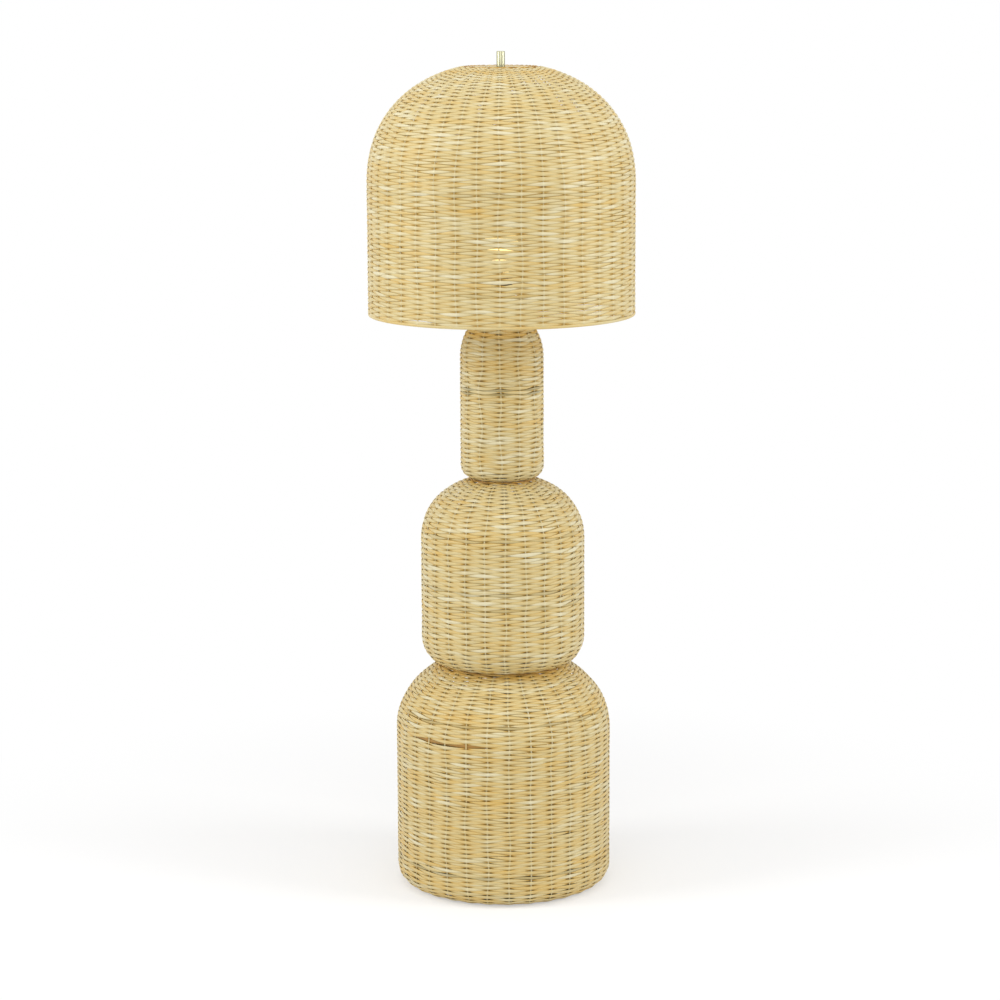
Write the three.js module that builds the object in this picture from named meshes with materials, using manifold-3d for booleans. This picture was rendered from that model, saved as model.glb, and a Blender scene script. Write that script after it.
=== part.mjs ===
// Rattan floor lamp: three woven sections stacked on a steel tube and a cast-iron weight,
// with a woven dome shade carried by a harp above the lamp holder.
// Millimetres, +Z up. The origin is on the floor, on the lamp's axis; the rear is at +Y.
import * as THREE from "three";
import { mergeVertices } from "three/addons/utils/BufferGeometryUtils.js";
import Module from "manifold-3d";

const wasm = await Module();
wasm.setup();

// Fits and fineness
const fit = 0.3;
const looseFit = 0.6;
const cutOverrun = 5;
const weldTolerance = 0.001;
const largeSides = 48;
const middleSides = 40;
const smallSides = 32;
const tubeSides = 16;
const wireSides = 6;
const shoulderSteps = 6;
const cornerSteps = 3;

// Woven sections, from the floor up. A section is a straight drum with a shoulder that
// closes in to its opening and a foot that tucks under to a flat lip. The rows of weaving
// stand out where they pass over the upright stakes and lie deeper between two stakes.
const weaveThickness = 8;
const weaveRelief = 2.4;
const floorGap = 1;

const baseStakes = 31;
const baseStakeDegrees = 2.9;
const baseRadius = 196;
const baseHeight = 411;
const baseShoulderHeight = 119;
const baseOpeningRadius = 113;
const baseRoundness = 2.0;
const baseCornerWidth = 28;
const baseCornerHeight = 33;
const baseLipWidth = 20;

const midStakes = 25;
const midStakeDegrees = 1.8;
const midRadius = 149;
const midHeight = 338;
const midShoulderHeight = 111;
const midOpeningRadius = 56;
const midRoundness = 2.2;
const midCornerWidth = 36;
const midCornerHeight = 50;
const midLipWidth = 13;

const neckStakes = 13;
const neckStakeDegrees = -3;
const neckRadius = 76;
const neckHeight = 302.5;
const neckShoulderHeight = 81.5;
const neckOpeningRadius = 24;
const neckRoundness = 2.0;
const neckCornerWidth = 20;
const neckCornerHeight = 26;
const neckLipWidth = 12;

// Woven shade
const shadeStakes = 39;
const shadeStakeDegrees = -1;
const shadeRadius = 240;
const shadeHeight = 440.5;
const shadeShoulderHeight = 206.5;
const shadeOpeningRadius = 68;
const shadeRoundness = 2.2;
const shadeShoulderSteps = 8;
const shadeRimHeight = 7;
const rimHoopWireRadius = 3;
const rimHoopRise = 1;

// Weight and the face it rests on
const feltThickness = 3;
const feltInset = 2;
const weightHeight = 14;
const weightFlangeOverlap = 16;
const weightLipGap = 2;
const boltRadius = 5;
const boltLength = 32;
const boltHeadRadius = 9;
const boltHeadHeight = 6;
const washerRadius = 11;
const washerThickness = 2;
const boltRecessRadius = 16;
const footHoopWireRadius = 4;
const footHoopRise = 6;

// Stand tubes and what joins them
const tubeRadius = 11;
const tubeWall = 1.5;
const plateThickness = 2;
const plateInset = 3;
const connectorLength = 50;
const connectorBoreRadius = 6;
const footPlugHeight = 28;
const leadHoleRadius = 5;
const leadHoleZ = 60;

// Grommet for the mains lead
const grommetBoreRadius = 3.8;
const grommetSleeveRadius = 6.6;
const grommetFlangeRadius = 10;
const grommetFlangeThickness = 2.5;
const grommetMembraneThickness = 0.8;

// Top of the neck
const capOverhang = 3;
const capThickness = 2.5;
const nippleRadius = 4.8;
const nippleBoreRadius = 3.2;
const nippleDepth = 26;
const nippleRise = 8;
const bushHeight = 24;
const lockNutRadius = 8;
const lockNutHeight = 3.5;
const collarRadius = 8.5;
const collarHeight = 5.5;

// Harp and its saddle
const saddleThickness = 1.5;
const saddleWidth = 11;
const saddleFlatHalf = 18;
const saddleRise = 13;
const saddlePadHalf = 5;
const harpFootSpan = 64;
const postHeight = 10;
const harpWireRadius = 2;
const harpSpan = 116;
const harpHeight = 396;
const harpLegLength = 42;
const harpSteps = 36;
const harpFlareShare = 0.22;
const harpBellyShare = 0.5;
const harpShoulderWidthShare = 0.55;
const harpShoulderHeightShare = 0.86;
const sleeveRadius = 4.2;
const sleeveLength = 20;
const harpBlockRadius = 6;
const harpBlockHeight = 9;
const studRadius = 3;
const studHeight = 18;

// Lamp holder and bulb
const socketRadius = 19.5;
const socketCapHeight = 14;
const socketCapFootRadius = 11;
const socketWall = 1.2;
const socketShellHeight = 42;
const socketCapLap = 6;
const switchFloorHeight = 14;
const bulbCapRadius = 13;
const bulbCapLength = 27;
const bulbCapRidges = 5;
const bulbContactRadius = 4.5;
const bulbContactHeight = 3;
const capRootShare = 0.94;
const bulbNeckRadius = 14;
const bulbRadius = 30;
const bulbGlassHeight = 83;
const bulbFootShare = 0.93;
const bulbFlankShares = [[0, 0.12], [0.12, 0.3], [0.45, 0.55], [0.8, 0.78]];
const bulbSteps = 5;
const knobRadius = 6.5;
const knobLength = 13;
const knobGap = 3;
const knobShaftRadius = 2;
const knobShaftDepth = 7;
const knobEdgeShare = 0.85;
const knobTipShare = 0.9;

// Shade fitting and finial
const spiderHubRadius = 13;
const spiderHubThickness = 2.5;
const spiderWireRadius = 2.5;
const spiderArmRadius = 2;
const spiderArms = 3;
const spiderRingDrop = 3.5;
const spiderDrop = 25;
const finialRadius = 7.5;
const finialHeight = 48;
const finialChamfer = 0.8;

// Heights that follow from the sizes above
const weightBottomZ = feltThickness;
const baseBottomZ = floorGap;
const weightTopZ = weightBottomZ + weightHeight;
const lowerPlateZ = baseBottomZ + baseHeight;
const midBottomZ = lowerPlateZ + plateThickness;
const upperPlateZ = midBottomZ + midHeight;
const neckBottomZ = upperPlateZ + plateThickness;
const neckTopZ = neckBottomZ + neckHeight;
const lockNutZ = neckTopZ + capThickness;
const collarZ = lockNutZ + lockNutHeight;
const saddleZ = collarZ + collarHeight;
const socketCapZ = saddleZ + saddleThickness;
const socketShellZ = socketCapZ + socketCapHeight - socketCapLap;
const bulbCapZ = socketCapZ + socketCapHeight + switchFloorHeight;
const bulbGlassZ = bulbCapZ + bulbCapLength;
const tubeBoreRadius = tubeRadius - tubeWall;
const hubZ = socketCapZ + harpHeight;
const shadeRimZ = hubZ + spiderDrop - shadeHeight;

const materials = {
  rattan: new THREE.MeshStandardMaterial({ color: 0xd6c288, roughness: 0.6, metalness: 0 }),
  cane: new THREE.MeshStandardMaterial({ color: 0xcbb27a, roughness: 0.6, metalness: 0 }),
  brass: new THREE.MeshStandardMaterial({ color: 0xd9c08a, roughness: 0.25, metalness: 1 }),
  steel: new THREE.MeshStandardMaterial({ color: 0xb9babb, roughness: 0.4, metalness: 1 }),
  iron: new THREE.MeshStandardMaterial({ color: 0x4a4a4c, roughness: 0.7, metalness: 1 }),
  felt: new THREE.MeshStandardMaterial({ color: 0x3b3a38, roughness: 1, metalness: 0 }),
  rubber: new THREE.MeshStandardMaterial({ color: 0x24221f, roughness: 0.8, metalness: 0 }),
  phenolic: new THREE.MeshStandardMaterial({ color: 0x1d1b1a, roughness: 0.5, metalness: 0 }),
  diffuser: new THREE.MeshStandardMaterial({ color: 0xfff1d6, roughness: 0.35, metalness: 0 }),
};

// Solids

function weld(geometry) {
  // Merges shared corners and drops the flat triangles that poles leave.
  geometry.deleteAttribute("normal");
  geometry.deleteAttribute("uv");
  const merged = mergeVertices(geometry, weldTolerance);
  const kept = [];
  for (let i = 0; i < merged.index.count; i += 3) {
    const corners = [merged.index.getX(i), merged.index.getX(i + 1), merged.index.getX(i + 2)];
    if (new Set(corners).size === 3) {
      kept.push(...corners);
    }
  }
  merged.setIndex(kept);
  return merged;
}

function turned(outline, sides) {
  // Turns a closed [radius, z] outline, given anticlockwise, about the Z axis.
  const points = outline.map(([radius, z]) => new THREE.Vector2(radius, z));
  const closed = outline[0][0] > 0 || outline[outline.length - 1][0] > 0;
  if (closed) {
    points.push(points[0].clone());
  }
  const geometry = new THREE.LatheGeometry(points, sides);
  geometry.rotateX(Math.PI / 2);
  return weld(geometry);
}

function ringOutline(inner, outer, low, high) {
  return [[inner, low], [outer, low], [outer, high], [inner, high]];
}

function sleeve(inner, outer, height, sides) {
  return turned(ringOutline(inner, outer, 0, height), sides);
}

function post(radius, height, sides) {
  return turned([[0, 0], [radius, 0], [radius, height], [0, height]], sides);
}

function hoop(radius, wireRadius, sides) {
  // A closed ring of round wire about the Z axis.
  const outline = [];
  for (let i = 0; i < wireSides; i += 1) {
    const angle = (2 * Math.PI * i) / wireSides;
    outline.push([radius + wireRadius * Math.cos(angle), wireRadius * Math.sin(angle)]);
  }
  return turned(outline, sides);
}

function hexagon(radius, height, boreRadius) {
  const corners = [];
  for (let i = 0; i < 6; i += 1) {
    const angle = (Math.PI * i) / 3;
    corners.push(new THREE.Vector2(radius * Math.cos(angle), radius * Math.sin(angle)));
  }
  const shape = new THREE.Shape(corners);
  const bore = new THREE.Path();
  bore.absarc(0, 0, boreRadius, 0, 2 * Math.PI, true);
  shape.holes.push(bore);
  const settings = { depth: height, bevelEnabled: false, curveSegments: wireSides };
  return weld(new THREE.ExtrudeGeometry(shape, settings));
}

function wireAlong(curve, radius, steps) {
  // A round wire along a curve, with closed ends.
  const section = new THREE.Shape();
  section.absarc(0, 0, radius, 0, 2 * Math.PI, false);
  const settings = {
    steps,
    extrudePath: curve,
    bevelEnabled: false,
    curveSegments: wireSides / 2,
  };
  return weld(new THREE.ExtrudeGeometry(section, settings));
}

function toSolid(geometry) {
  const vertProperties = new Float32Array(geometry.attributes.position.array);
  const triVerts = new Uint32Array(geometry.index.array);
  return new wasm.Manifold(new wasm.Mesh({ numProp: 3, vertProperties, triVerts }));
}

function toGeometry(solid) {
  const mesh = solid.getMesh();
  const geometry = new THREE.BufferGeometry();
  geometry.setAttribute("position", new THREE.BufferAttribute(mesh.vertProperties, 3));
  geometry.setIndex(new THREE.BufferAttribute(mesh.triVerts, 1));
  return geometry;
}

function cut(geometry, ...tools) {
  return toGeometry(tools.reduce((solid, tool) => solid.subtract(toSolid(tool)), toSolid(geometry)));
}

function join(geometry, ...others) {
  return toGeometry(others.reduce((solid, other) => solid.add(toSolid(other)), toSolid(geometry)));
}

function alongY(geometry) {
  // Lays a solid that was made about Z along the Y axis.
  return geometry.rotateX(-Math.PI / 2);
}

// Woven shells

function shoulder(radius, semiHeight, roundness, openingRadius, steps, tangentZ) {
  // Superellipse from the straight side in to the opening, as [radius, z] points.
  const power = 2 / roundness;
  const last = Math.acos((openingRadius / radius) ** (1 / power));
  const points = [];
  for (let i = 0; i <= steps; i += 1) {
    const angle = (last * i) / steps;
    points.push([
      radius * Math.cos(angle) ** power,
      tangentZ + semiHeight * Math.sin(angle) ** power,
    ]);
  }
  return points;
}

function corner(centreRadius, centreZ, width, height) {
  // Quarter ellipse from the flat lip out to the straight side.
  const points = [];
  for (let i = 0; i <= cornerSteps; i += 1) {
    const angle = (Math.PI * (i - cornerSteps)) / (2 * cornerSteps);
    points.push([centreRadius + width * Math.cos(angle), centreZ + height * Math.sin(angle)]);
  }
  return points;
}

function semiHeightOf(size) {
  // Height of the full dome of which the shoulder is the part outside the opening.
  const openShare = (size.openingRadius / size.radius) ** size.roundness;
  return size.shoulderHeight / (1 - openShare) ** (1 / size.roundness);
}

function wovenRound(crest, hollow, size) {
  // Turns the closed outline of a woven wall about the Z axis. It follows the crest outline at
  // each stake and the hollow outline halfway between two stakes.
  const columns = 2 * size.stakes;
  const start = THREE.MathUtils.degToRad(size.stakeDegrees);
  const points = [...crest, crest[0]].map(([radius, z]) => new THREE.Vector2(radius, z));
  const geometry = new THREE.LatheGeometry(points, columns, start);
  for (let column = 1; column < columns; column += 2) {
    const angle = start + (2 * Math.PI * column) / columns;
    [...hollow, hollow[0]].forEach(([radius, z], row) => {
      const vertex = column * points.length + row;
      const across = radius * Math.sin(angle);
      geometry.attributes.position.setXYZ(vertex, across, z, radius * Math.cos(angle));
    });
  }
  geometry.rotateX(Math.PI / 2);
  return weld(geometry);
}

function innerReach(size) {
  // How far from the axis a hoop may reach inside the flat sides of a woven wall.
  return (size.radius - weaveThickness) * Math.cos(Math.PI / (2 * size.stakes)) - fit;
}

function wovenSection(size) {
  // Outer face from the lip up to the opening, then the inner face back down. The lip and the
  // edge of the opening stay level all round.
  const tangentZ = size.height - size.shoulderHeight;
  const semiHeight = semiHeightOf(size);
  const footRadius = size.radius - size.cornerWidth;
  const innerRadius = size.openingRadius - weaveThickness;
  const outerFace = (depth) => [
    ...corner(
      footRadius, size.cornerHeight, size.cornerWidth - depth, size.cornerHeight - depth,
    ),
    ...shoulder(
      size.radius - depth, semiHeight - depth, size.roundness, size.openingRadius,
      shoulderSteps, tangentZ,
    ),
  ].slice(1, -1);
  const inner = [
    ...corner(
      footRadius, size.cornerHeight,
      size.cornerWidth - weaveThickness, size.cornerHeight - weaveThickness,
    ),
    ...shoulder(
      size.radius - weaveThickness, semiHeight - weaveThickness, size.roundness,
      innerRadius, shoulderSteps, tangentZ,
    ),
  ].reverse();
  const outline = (depth) => [
    [footRadius - size.lipWidth, 0],
    [footRadius, 0],
    ...outerFace(depth),
    [size.openingRadius, size.height],
    [innerRadius, size.height],
    ...inner,
    [footRadius - size.lipWidth, weaveThickness],
  ];
  return wovenRound(outline(0), outline(weaveRelief), size);
}

function shadeShell() {
  // As a section, but open below: its rim and the edge of its opening stay level all round.
  const size = shadeSize;
  const tangentZ = size.height - size.shoulderHeight;
  const semiHeight = semiHeightOf(size);
  const innerRadius = size.openingRadius - weaveThickness;
  const inner = shoulder(
    size.radius - weaveThickness, semiHeight - weaveThickness, size.roundness,
    innerRadius, shadeShoulderSteps, tangentZ,
  ).reverse();
  const outline = (depth) => [
    [size.radius - weaveThickness, 0],
    [size.radius, 0],
    [size.radius, shadeRimHeight],
    [size.radius - depth, shadeRimHeight + weaveRelief],
    ...shoulder(
      size.radius - depth, semiHeight - depth, size.roundness, size.openingRadius,
      shadeShoulderSteps, tangentZ,
    ).slice(0, -1),
    [size.openingRadius, size.height],
    [innerRadius, size.height],
    ...inner,
  ];
  return wovenRound(outline(0), outline(weaveRelief), size);
}

const baseSize = {
  stakes: baseStakes,
  stakeDegrees: baseStakeDegrees,
  radius: baseRadius,
  height: baseHeight,
  shoulderHeight: baseShoulderHeight,
  openingRadius: baseOpeningRadius,
  roundness: baseRoundness,
  cornerWidth: baseCornerWidth,
  cornerHeight: baseCornerHeight,
  lipWidth: baseLipWidth,
};
const midSize = {
  stakes: midStakes,
  stakeDegrees: midStakeDegrees,
  radius: midRadius,
  height: midHeight,
  shoulderHeight: midShoulderHeight,
  openingRadius: midOpeningRadius,
  roundness: midRoundness,
  cornerWidth: midCornerWidth,
  cornerHeight: midCornerHeight,
  lipWidth: midLipWidth,
};
const neckSize = {
  stakes: neckStakes,
  stakeDegrees: neckStakeDegrees,
  radius: neckRadius,
  height: neckHeight,
  shoulderHeight: neckShoulderHeight,
  openingRadius: neckOpeningRadius,
  roundness: neckRoundness,
  cornerWidth: neckCornerWidth,
  cornerHeight: neckCornerHeight,
  lipWidth: neckLipWidth,
};
const shadeSize = {
  stakes: shadeStakes,
  stakeDegrees: shadeStakeDegrees,
  radius: shadeRadius,
  height: shadeHeight,
  shoulderHeight: shadeShoulderHeight,
  openingRadius: shadeOpeningRadius,
  roundness: shadeRoundness,
};

function baseShell() {
  // At the rear the weave lies flat under the grommet's flange, and is pierced for its sleeve.
  const holeZ = leadHoleZ - baseBottomZ;
  const seat = alongY(post(grommetFlangeRadius + fit, weaveThickness / 2, tubeSides));
  seat.translate(0, baseRadius - weaveThickness / 2, holeZ);
  const hole = alongY(post(grommetSleeveRadius + fit, 2 * (weaveThickness + cutOverrun), tubeSides));
  hole.translate(0, baseRadius - 2 * weaveThickness, holeZ);
  return cut(join(wovenSection(baseSize), seat), hole);
}

// Stand

const baseFootRadius = baseRadius - baseCornerWidth;
const baseLipRadius = baseFootRadius - baseLipWidth;

function weight() {
  // A disc inside the woven lip, with a flange that rests on the lip from above.
  const bodyRadius = baseLipRadius - weightLipGap;
  const flangeZ = baseBottomZ + weaveThickness - weightBottomZ;
  const flangeRadius = baseLipRadius + weightFlangeOverlap;
  const recessHeight = boltHeadHeight + washerThickness + fit;
  const boreRadius = boltRadius + looseFit;
  return turned([
    [boltRecessRadius, 0],
    [bodyRadius, 0],
    [bodyRadius, flangeZ],
    [flangeRadius, flangeZ],
    [flangeRadius, weightHeight],
    [boreRadius, weightHeight],
    [boreRadius, recessHeight],
    [boltRecessRadius, recessHeight],
  ], middleSides);
}

function bolt() {
  const head = hexagonHead();
  const shank = post(boltRadius, boltLength, tubeSides / 2);
  shank.translate(0, 0, boltHeadHeight / 2);
  return join(head, shank);
}

function hexagonHead() {
  return post(boltHeadRadius, boltHeadHeight, 6);
}

function baseTube() {
  // Its rear side is pierced for the lead, level with the grommet.
  const height = lowerPlateZ - weightTopZ;
  const hole = alongY(post(leadHoleRadius, tubeRadius + cutOverrun, tubeSides / 2));
  hole.translate(0, 0, leadHoleZ - weightTopZ);
  return cut(sleeve(tubeBoreRadius, tubeRadius, height, tubeSides), hole);
}

function plate(outerRadius) {
  return sleeve(tubeBoreRadius, outerRadius, plateThickness, middleSides);
}

function connector() {
  return sleeve(connectorBoreRadius, tubeBoreRadius - fit, connectorLength, tubeSides);
}

function grommet() {
  // A spool about Z, one flange inside the wall and one outside, later laid along Y. A thin
  // membrane closes its bore until a lead is pushed through.
  const wall = weaveThickness + 4 * fit;
  const high = wall + grommetFlangeThickness;
  const membraneZ = (wall - grommetMembraneThickness) / 2;
  return alongY(turned([
    [0, membraneZ],
    [grommetBoreRadius, membraneZ],
    [grommetBoreRadius, -grommetFlangeThickness],
    [grommetFlangeRadius, -grommetFlangeThickness],
    [grommetFlangeRadius, 0],
    [grommetSleeveRadius, 0],
    [grommetSleeveRadius, wall],
    [grommetFlangeRadius, wall],
    [grommetFlangeRadius, high],
    [grommetBoreRadius, high],
    [grommetBoreRadius, membraneZ + grommetMembraneThickness],
    [0, membraneZ + grommetMembraneThickness],
  ], tubeSides));
}

// Harp

const nippleBore = nippleRadius + fit;
const harpFoot = harpFootSpan / 2;
const postFootZ = saddleRise + saddleThickness;
const postTopZ = postFootZ + postHeight;

function saddle() {
  // A bent strip with a bore for the nipple, pads at its ends and a post on each pad.
  const outer = harpFoot + saddlePadHalf;
  const inner = harpFoot - saddlePadHalf;
  const top = saddleRise;
  const below = [[-outer, top], [-inner, top], [-saddleFlatHalf, 0]];
  const right = below.map(([x, z]) => [-x, z]).reverse();
  const lower = [...below, ...right];
  const upper = lower.map(([x, z]) => [x, z + saddleThickness]).reverse();
  const shape = new THREE.Shape([...lower, ...upper].map(([x, z]) => new THREE.Vector2(x, z)));
  const settings = { depth: saddleWidth, bevelEnabled: false };
  const strip = weld(new THREE.ExtrudeGeometry(shape, settings));
  strip.translate(0, 0, -saddleWidth / 2);
  strip.rotateX(Math.PI / 2);
  const bore = post(nippleBore, 2 * cutOverrun, tubeSides);
  bore.translate(0, 0, -cutOverrun);
  const posts = [-harpFoot, harpFoot].map((x) => {
    const pin = post(harpWireRadius, postHeight + saddleThickness / 2, wireSides);
    return pin.translate(x, 0, saddleRise + saddleThickness / 2);
  });
  return join(cut(strip, bore), ...posts);
}

function harp() {
  // One wire from post to post over the bulb, with a block and a threaded stud on top.
  const half = harpSpan / 2;
  const topZ = harpHeight - harpBlockHeight / 2;
  const footZ = postTopZ + fit - saddleThickness;
  const flareZ = footZ + harpLegLength;
  const rightSide = [
    [harpFoot, footZ],
    [harpFoot, footZ + harpLegLength / 2],
    [harpFoot, flareZ],
    [half, flareZ + (topZ - flareZ) * harpFlareShare],
    [half, flareZ + (topZ - flareZ) * harpBellyShare],
    [half * harpShoulderWidthShare, flareZ + (topZ - flareZ) * harpShoulderHeightShare],
  ];
  const points = rightSide.map(([x, z]) => new THREE.Vector3(x, 0, z));
  points.push(new THREE.Vector3(0, 0, topZ));
  rightSide.reverse().forEach(([x, z]) => points.push(new THREE.Vector3(-x, 0, z)));
  const curve = new THREE.CatmullRomCurve3(points, false, "centripetal");
  const wire = wireAlong(curve, harpWireRadius, harpSteps);
  const block = post(harpBlockRadius, harpBlockHeight, tubeSides / 2);
  block.translate(0, 0, harpHeight - harpBlockHeight);
  const stud = post(studRadius, studHeight + harpBlockHeight / 2, tubeSides / 2);
  stud.translate(0, 0, harpHeight - harpBlockHeight / 2);
  return join(wire, block, stud);
}

// Lamp holder

const interiorRadius = socketRadius - socketWall - fit;
const switchZ = socketCapHeight + switchFloorHeight / 2;

function socketCap() {
  // A turned cup with a wall that laps over the shell.
  const wallRadius = socketRadius + fit + socketWall;
  const lapZ = socketCapHeight - socketCapLap - fit;
  return turned([
    [nippleBore, 0],
    [socketCapFootRadius, 0],
    [wallRadius, lapZ],
    [wallRadius, socketCapHeight],
    [socketRadius + fit, socketCapHeight],
    [socketRadius + fit, lapZ],
    [socketCapFootRadius, socketWall + fit],
    [nippleBore, socketWall + fit],
  ], tubeSides);
}

function socketShell() {
  // A thin cylinder pierced at the front for the switch shaft.
  const shell = sleeve(socketRadius - socketWall, socketRadius, socketShellHeight, tubeSides);
  const hole = alongY(post(knobShaftRadius + looseFit, socketRadius + cutOverrun, tubeSides / 2));
  hole.translate(0, -socketRadius - cutOverrun, socketCapZ + switchZ - socketShellZ);
  return cut(shell, hole);
}

function socketInterior() {
  // A moulded block: the bulb's well above, the switch with its shaft bore below.
  const floorZ = socketCapZ + socketCapHeight;
  const top = socketShellZ + socketShellHeight - floorZ - fit;
  const wellZ = bulbCapZ - floorZ - fit;
  const body = turned([
    [0, 0],
    [interiorRadius, 0],
    [interiorRadius, top],
    [bulbCapRadius + looseFit, top],
    [bulbCapRadius + looseFit, wellZ],
    [0, wellZ],
  ], tubeSides);
  const boreLength = knobShaftDepth + fit + cutOverrun;
  const bore = alongY(post(knobShaftRadius + looseFit, boreLength, tubeSides / 2));
  bore.translate(0, -interiorRadius - cutOverrun, switchFloorHeight / 2);
  return cut(body, bore);
}

function switchKnob() {
  // Knob and shaft about Z, later laid along Y with the shaft pointing in.
  const shaftLength = knobShaftDepth + fit + socketWall + knobGap;
  const edge = knobRadius * knobEdgeShare;
  return alongY(turned([
    [0, -knobLength],
    [edge, -knobLength],
    [knobRadius, -knobLength * knobTipShare],
    [knobRadius, 0],
    [knobShaftRadius, 0],
    [knobShaftRadius, shaftLength],
    [0, shaftLength],
  ], tubeSides / 2));
}

function bulbCap() {
  // Screw cap with rounded ridges above its centre contact.
  const rootRadius = bulbCapRadius * capRootShare;
  const ridgeHeight = (bulbCapLength - 2 * bulbContactHeight) / bulbCapRidges;
  const outline = [
    [0, 0],
    [bulbContactRadius, 0],
    [rootRadius, bulbContactHeight],
  ];
  for (let i = 0; i < bulbCapRidges; i += 1) {
    const z = bulbContactHeight + i * ridgeHeight;
    outline.push([bulbCapRadius, z + ridgeHeight / 2]);
    outline.push([rootRadius, z + ridgeHeight]);
  }
  outline.push([rootRadius, bulbCapLength]);
  outline.push([0, bulbCapLength]);
  return turned(outline, tubeSides);
}

function bulbGlass() {
  // A pear shape: a neck that swells into the ball.
  const ballZ = bulbGlassHeight - bulbRadius;
  const outline = [[0, 0], [bulbNeckRadius * bulbFootShare, 0]];
  bulbFlankShares.forEach(([radiusShare, heightShare]) => {
    const radius = bulbNeckRadius + (bulbRadius - bulbNeckRadius) * radiusShare;
    outline.push([radius, ballZ * heightShare]);
  });
  for (let i = 0; i <= bulbSteps; i += 1) {
    const angle = (Math.PI * i) / (2 * bulbSteps);
    const radius = i === bulbSteps ? 0 : bulbRadius * Math.cos(angle);
    outline.push([radius, ballZ + bulbRadius * Math.sin(angle)]);
  }
  return turned(outline, tubeSides);
}

// Shade fitting

function spider() {
  // Hub, arms and top ring, welded together; the arms climb from the hub to the ring.
  const ringRadius = shadeOpeningRadius - weaveThickness - fit - spiderWireRadius;
  const ringZ = spiderDrop - spiderRingDrop;
  const ring = hoop(ringRadius, spiderWireRadius, largeSides).translate(0, 0, ringZ);
  const hub = sleeve(studRadius + looseFit, spiderHubRadius, spiderHubThickness, tubeSides);
  const arms = [];
  for (let i = 0; i < spiderArms; i += 1) {
    const angle = Math.PI / 2 + (2 * Math.PI * i) / spiderArms;
    const inner = spiderHubRadius - spiderArmRadius;
    const from = new THREE.Vector3(
      inner * Math.cos(angle), inner * Math.sin(angle), spiderArmRadius,
    );
    const to = new THREE.Vector3(
      ringRadius * Math.cos(angle), ringRadius * Math.sin(angle), ringZ,
    );
    arms.push(wireAlong(new THREE.LineCurve3(from, to), spiderArmRadius, 1));
  }
  return join(hub, ring, ...arms);
}

function finial() {
  // A plain turned rod with a threaded well for the stud.
  const height = finialHeight;
  const wellTop = studHeight + looseFit - spiderHubThickness;
  const well = studRadius + looseFit;
  return turned([
    [well, 0],
    [finialRadius - finialChamfer, 0],
    [finialRadius, finialChamfer],
    [finialRadius, height - finialChamfer],
    [finialRadius - finialChamfer, height],
    [0, height],
    [0, wellTop],
    [well, wellTop],
  ], tubeSides);
}

// Assembly

const lamp = new THREE.Group();
const stand = new THREE.Group();
const holder = new THREE.Group();
const bulb = new THREE.Group();
const shade = new THREE.Group();
lamp.add(stand, holder, bulb, shade);

function place(group, name, geometry, material, position = [0, 0, 0]) {
  const mesh = new THREE.Mesh(geometry, material);
  mesh.name = name;
  mesh.position.set(...position);
  group.add(mesh);
}

const { rattan, cane, brass, steel, iron, felt, rubber, phenolic, diffuser } = materials;
const feltRadius = baseLipRadius - weightLipGap - feltInset;
const boltHeadZ = weightBottomZ + fit;
const washerZ = boltHeadZ + boltHeadHeight;
const footHoopRadius = innerReach(baseSize) - footHoopWireRadius;
const rimHoopRadius = innerReach(shadeSize) - rimHoopWireRadius;
const nippleFootZ = neckTopZ - nippleDepth;

place(stand, "base_felt_pad", post(feltRadius, feltThickness, middleSides), felt);
place(stand, "base_weight", weight(), iron, [0, 0, weightBottomZ]);
place(stand, "base_bolt", bolt(), steel, [0, 0, boltHeadZ]);
place(
  stand, "base_washer", sleeve(boltRadius + fit, washerRadius, washerThickness, tubeSides),
  steel, [0, 0, washerZ],
);
place(stand, "base_woven_shell", baseShell(), rattan, [0, 0, baseBottomZ]);
place(
  stand, "base_foot_hoop", hoop(footHoopRadius, footHoopWireRadius, largeSides), cane,
  [0, 0, baseBottomZ + baseCornerHeight + footHoopRise],
);
place(
  stand, "cord_grommet", grommet(), rubber,
  [0, baseRadius - weaveThickness - 3 * fit, leadHoleZ],
);
place(
  stand, "tube_foot_plug",
  sleeve(boltRadius + fit, tubeBoreRadius - fit, footPlugHeight, tubeSides), steel,
  [0, 0, weightTopZ],
);
place(stand, "base_tube", baseTube(), steel, [0, 0, weightTopZ]);
place(stand, "lower_junction_plate", plate(baseOpeningRadius - plateInset), steel, [0, 0, lowerPlateZ]);
place(
  stand, "lower_connector", connector(), steel,
  [0, 0, lowerPlateZ + (plateThickness - connectorLength) / 2],
);
place(stand, "mid_woven_shell", wovenSection(midSize), rattan, [0, 0, midBottomZ]);
place(
  stand, "mid_tube", sleeve(tubeBoreRadius, tubeRadius, midHeight, tubeSides), steel,
  [0, 0, midBottomZ],
);
place(stand, "upper_junction_plate", plate(midOpeningRadius - plateInset), steel, [0, 0, upperPlateZ]);
place(
  stand, "upper_connector", connector(), steel,
  [0, 0, upperPlateZ + (plateThickness - connectorLength) / 2],
);
place(stand, "neck_woven_shell", wovenSection(neckSize), rattan, [0, 0, neckBottomZ]);
place(
  stand, "neck_tube", sleeve(tubeBoreRadius, tubeRadius, neckHeight, tubeSides), steel,
  [0, 0, neckBottomZ],
);
place(
  stand, "neck_cap",
  sleeve(nippleBore, neckOpeningRadius + capOverhang, capThickness, smallSides), steel,
  [0, 0, neckTopZ],
);
place(
  stand, "top_bush", sleeve(nippleBore, tubeBoreRadius - fit, bushHeight, tubeSides), steel,
  [0, 0, neckTopZ - bushHeight - fit],
);
place(
  stand, "lamp_nipple",
  sleeve(nippleBoreRadius, nippleRadius, socketCapZ + nippleRise - nippleFootZ, tubeSides), steel,
  [0, 0, nippleFootZ],
);
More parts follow.
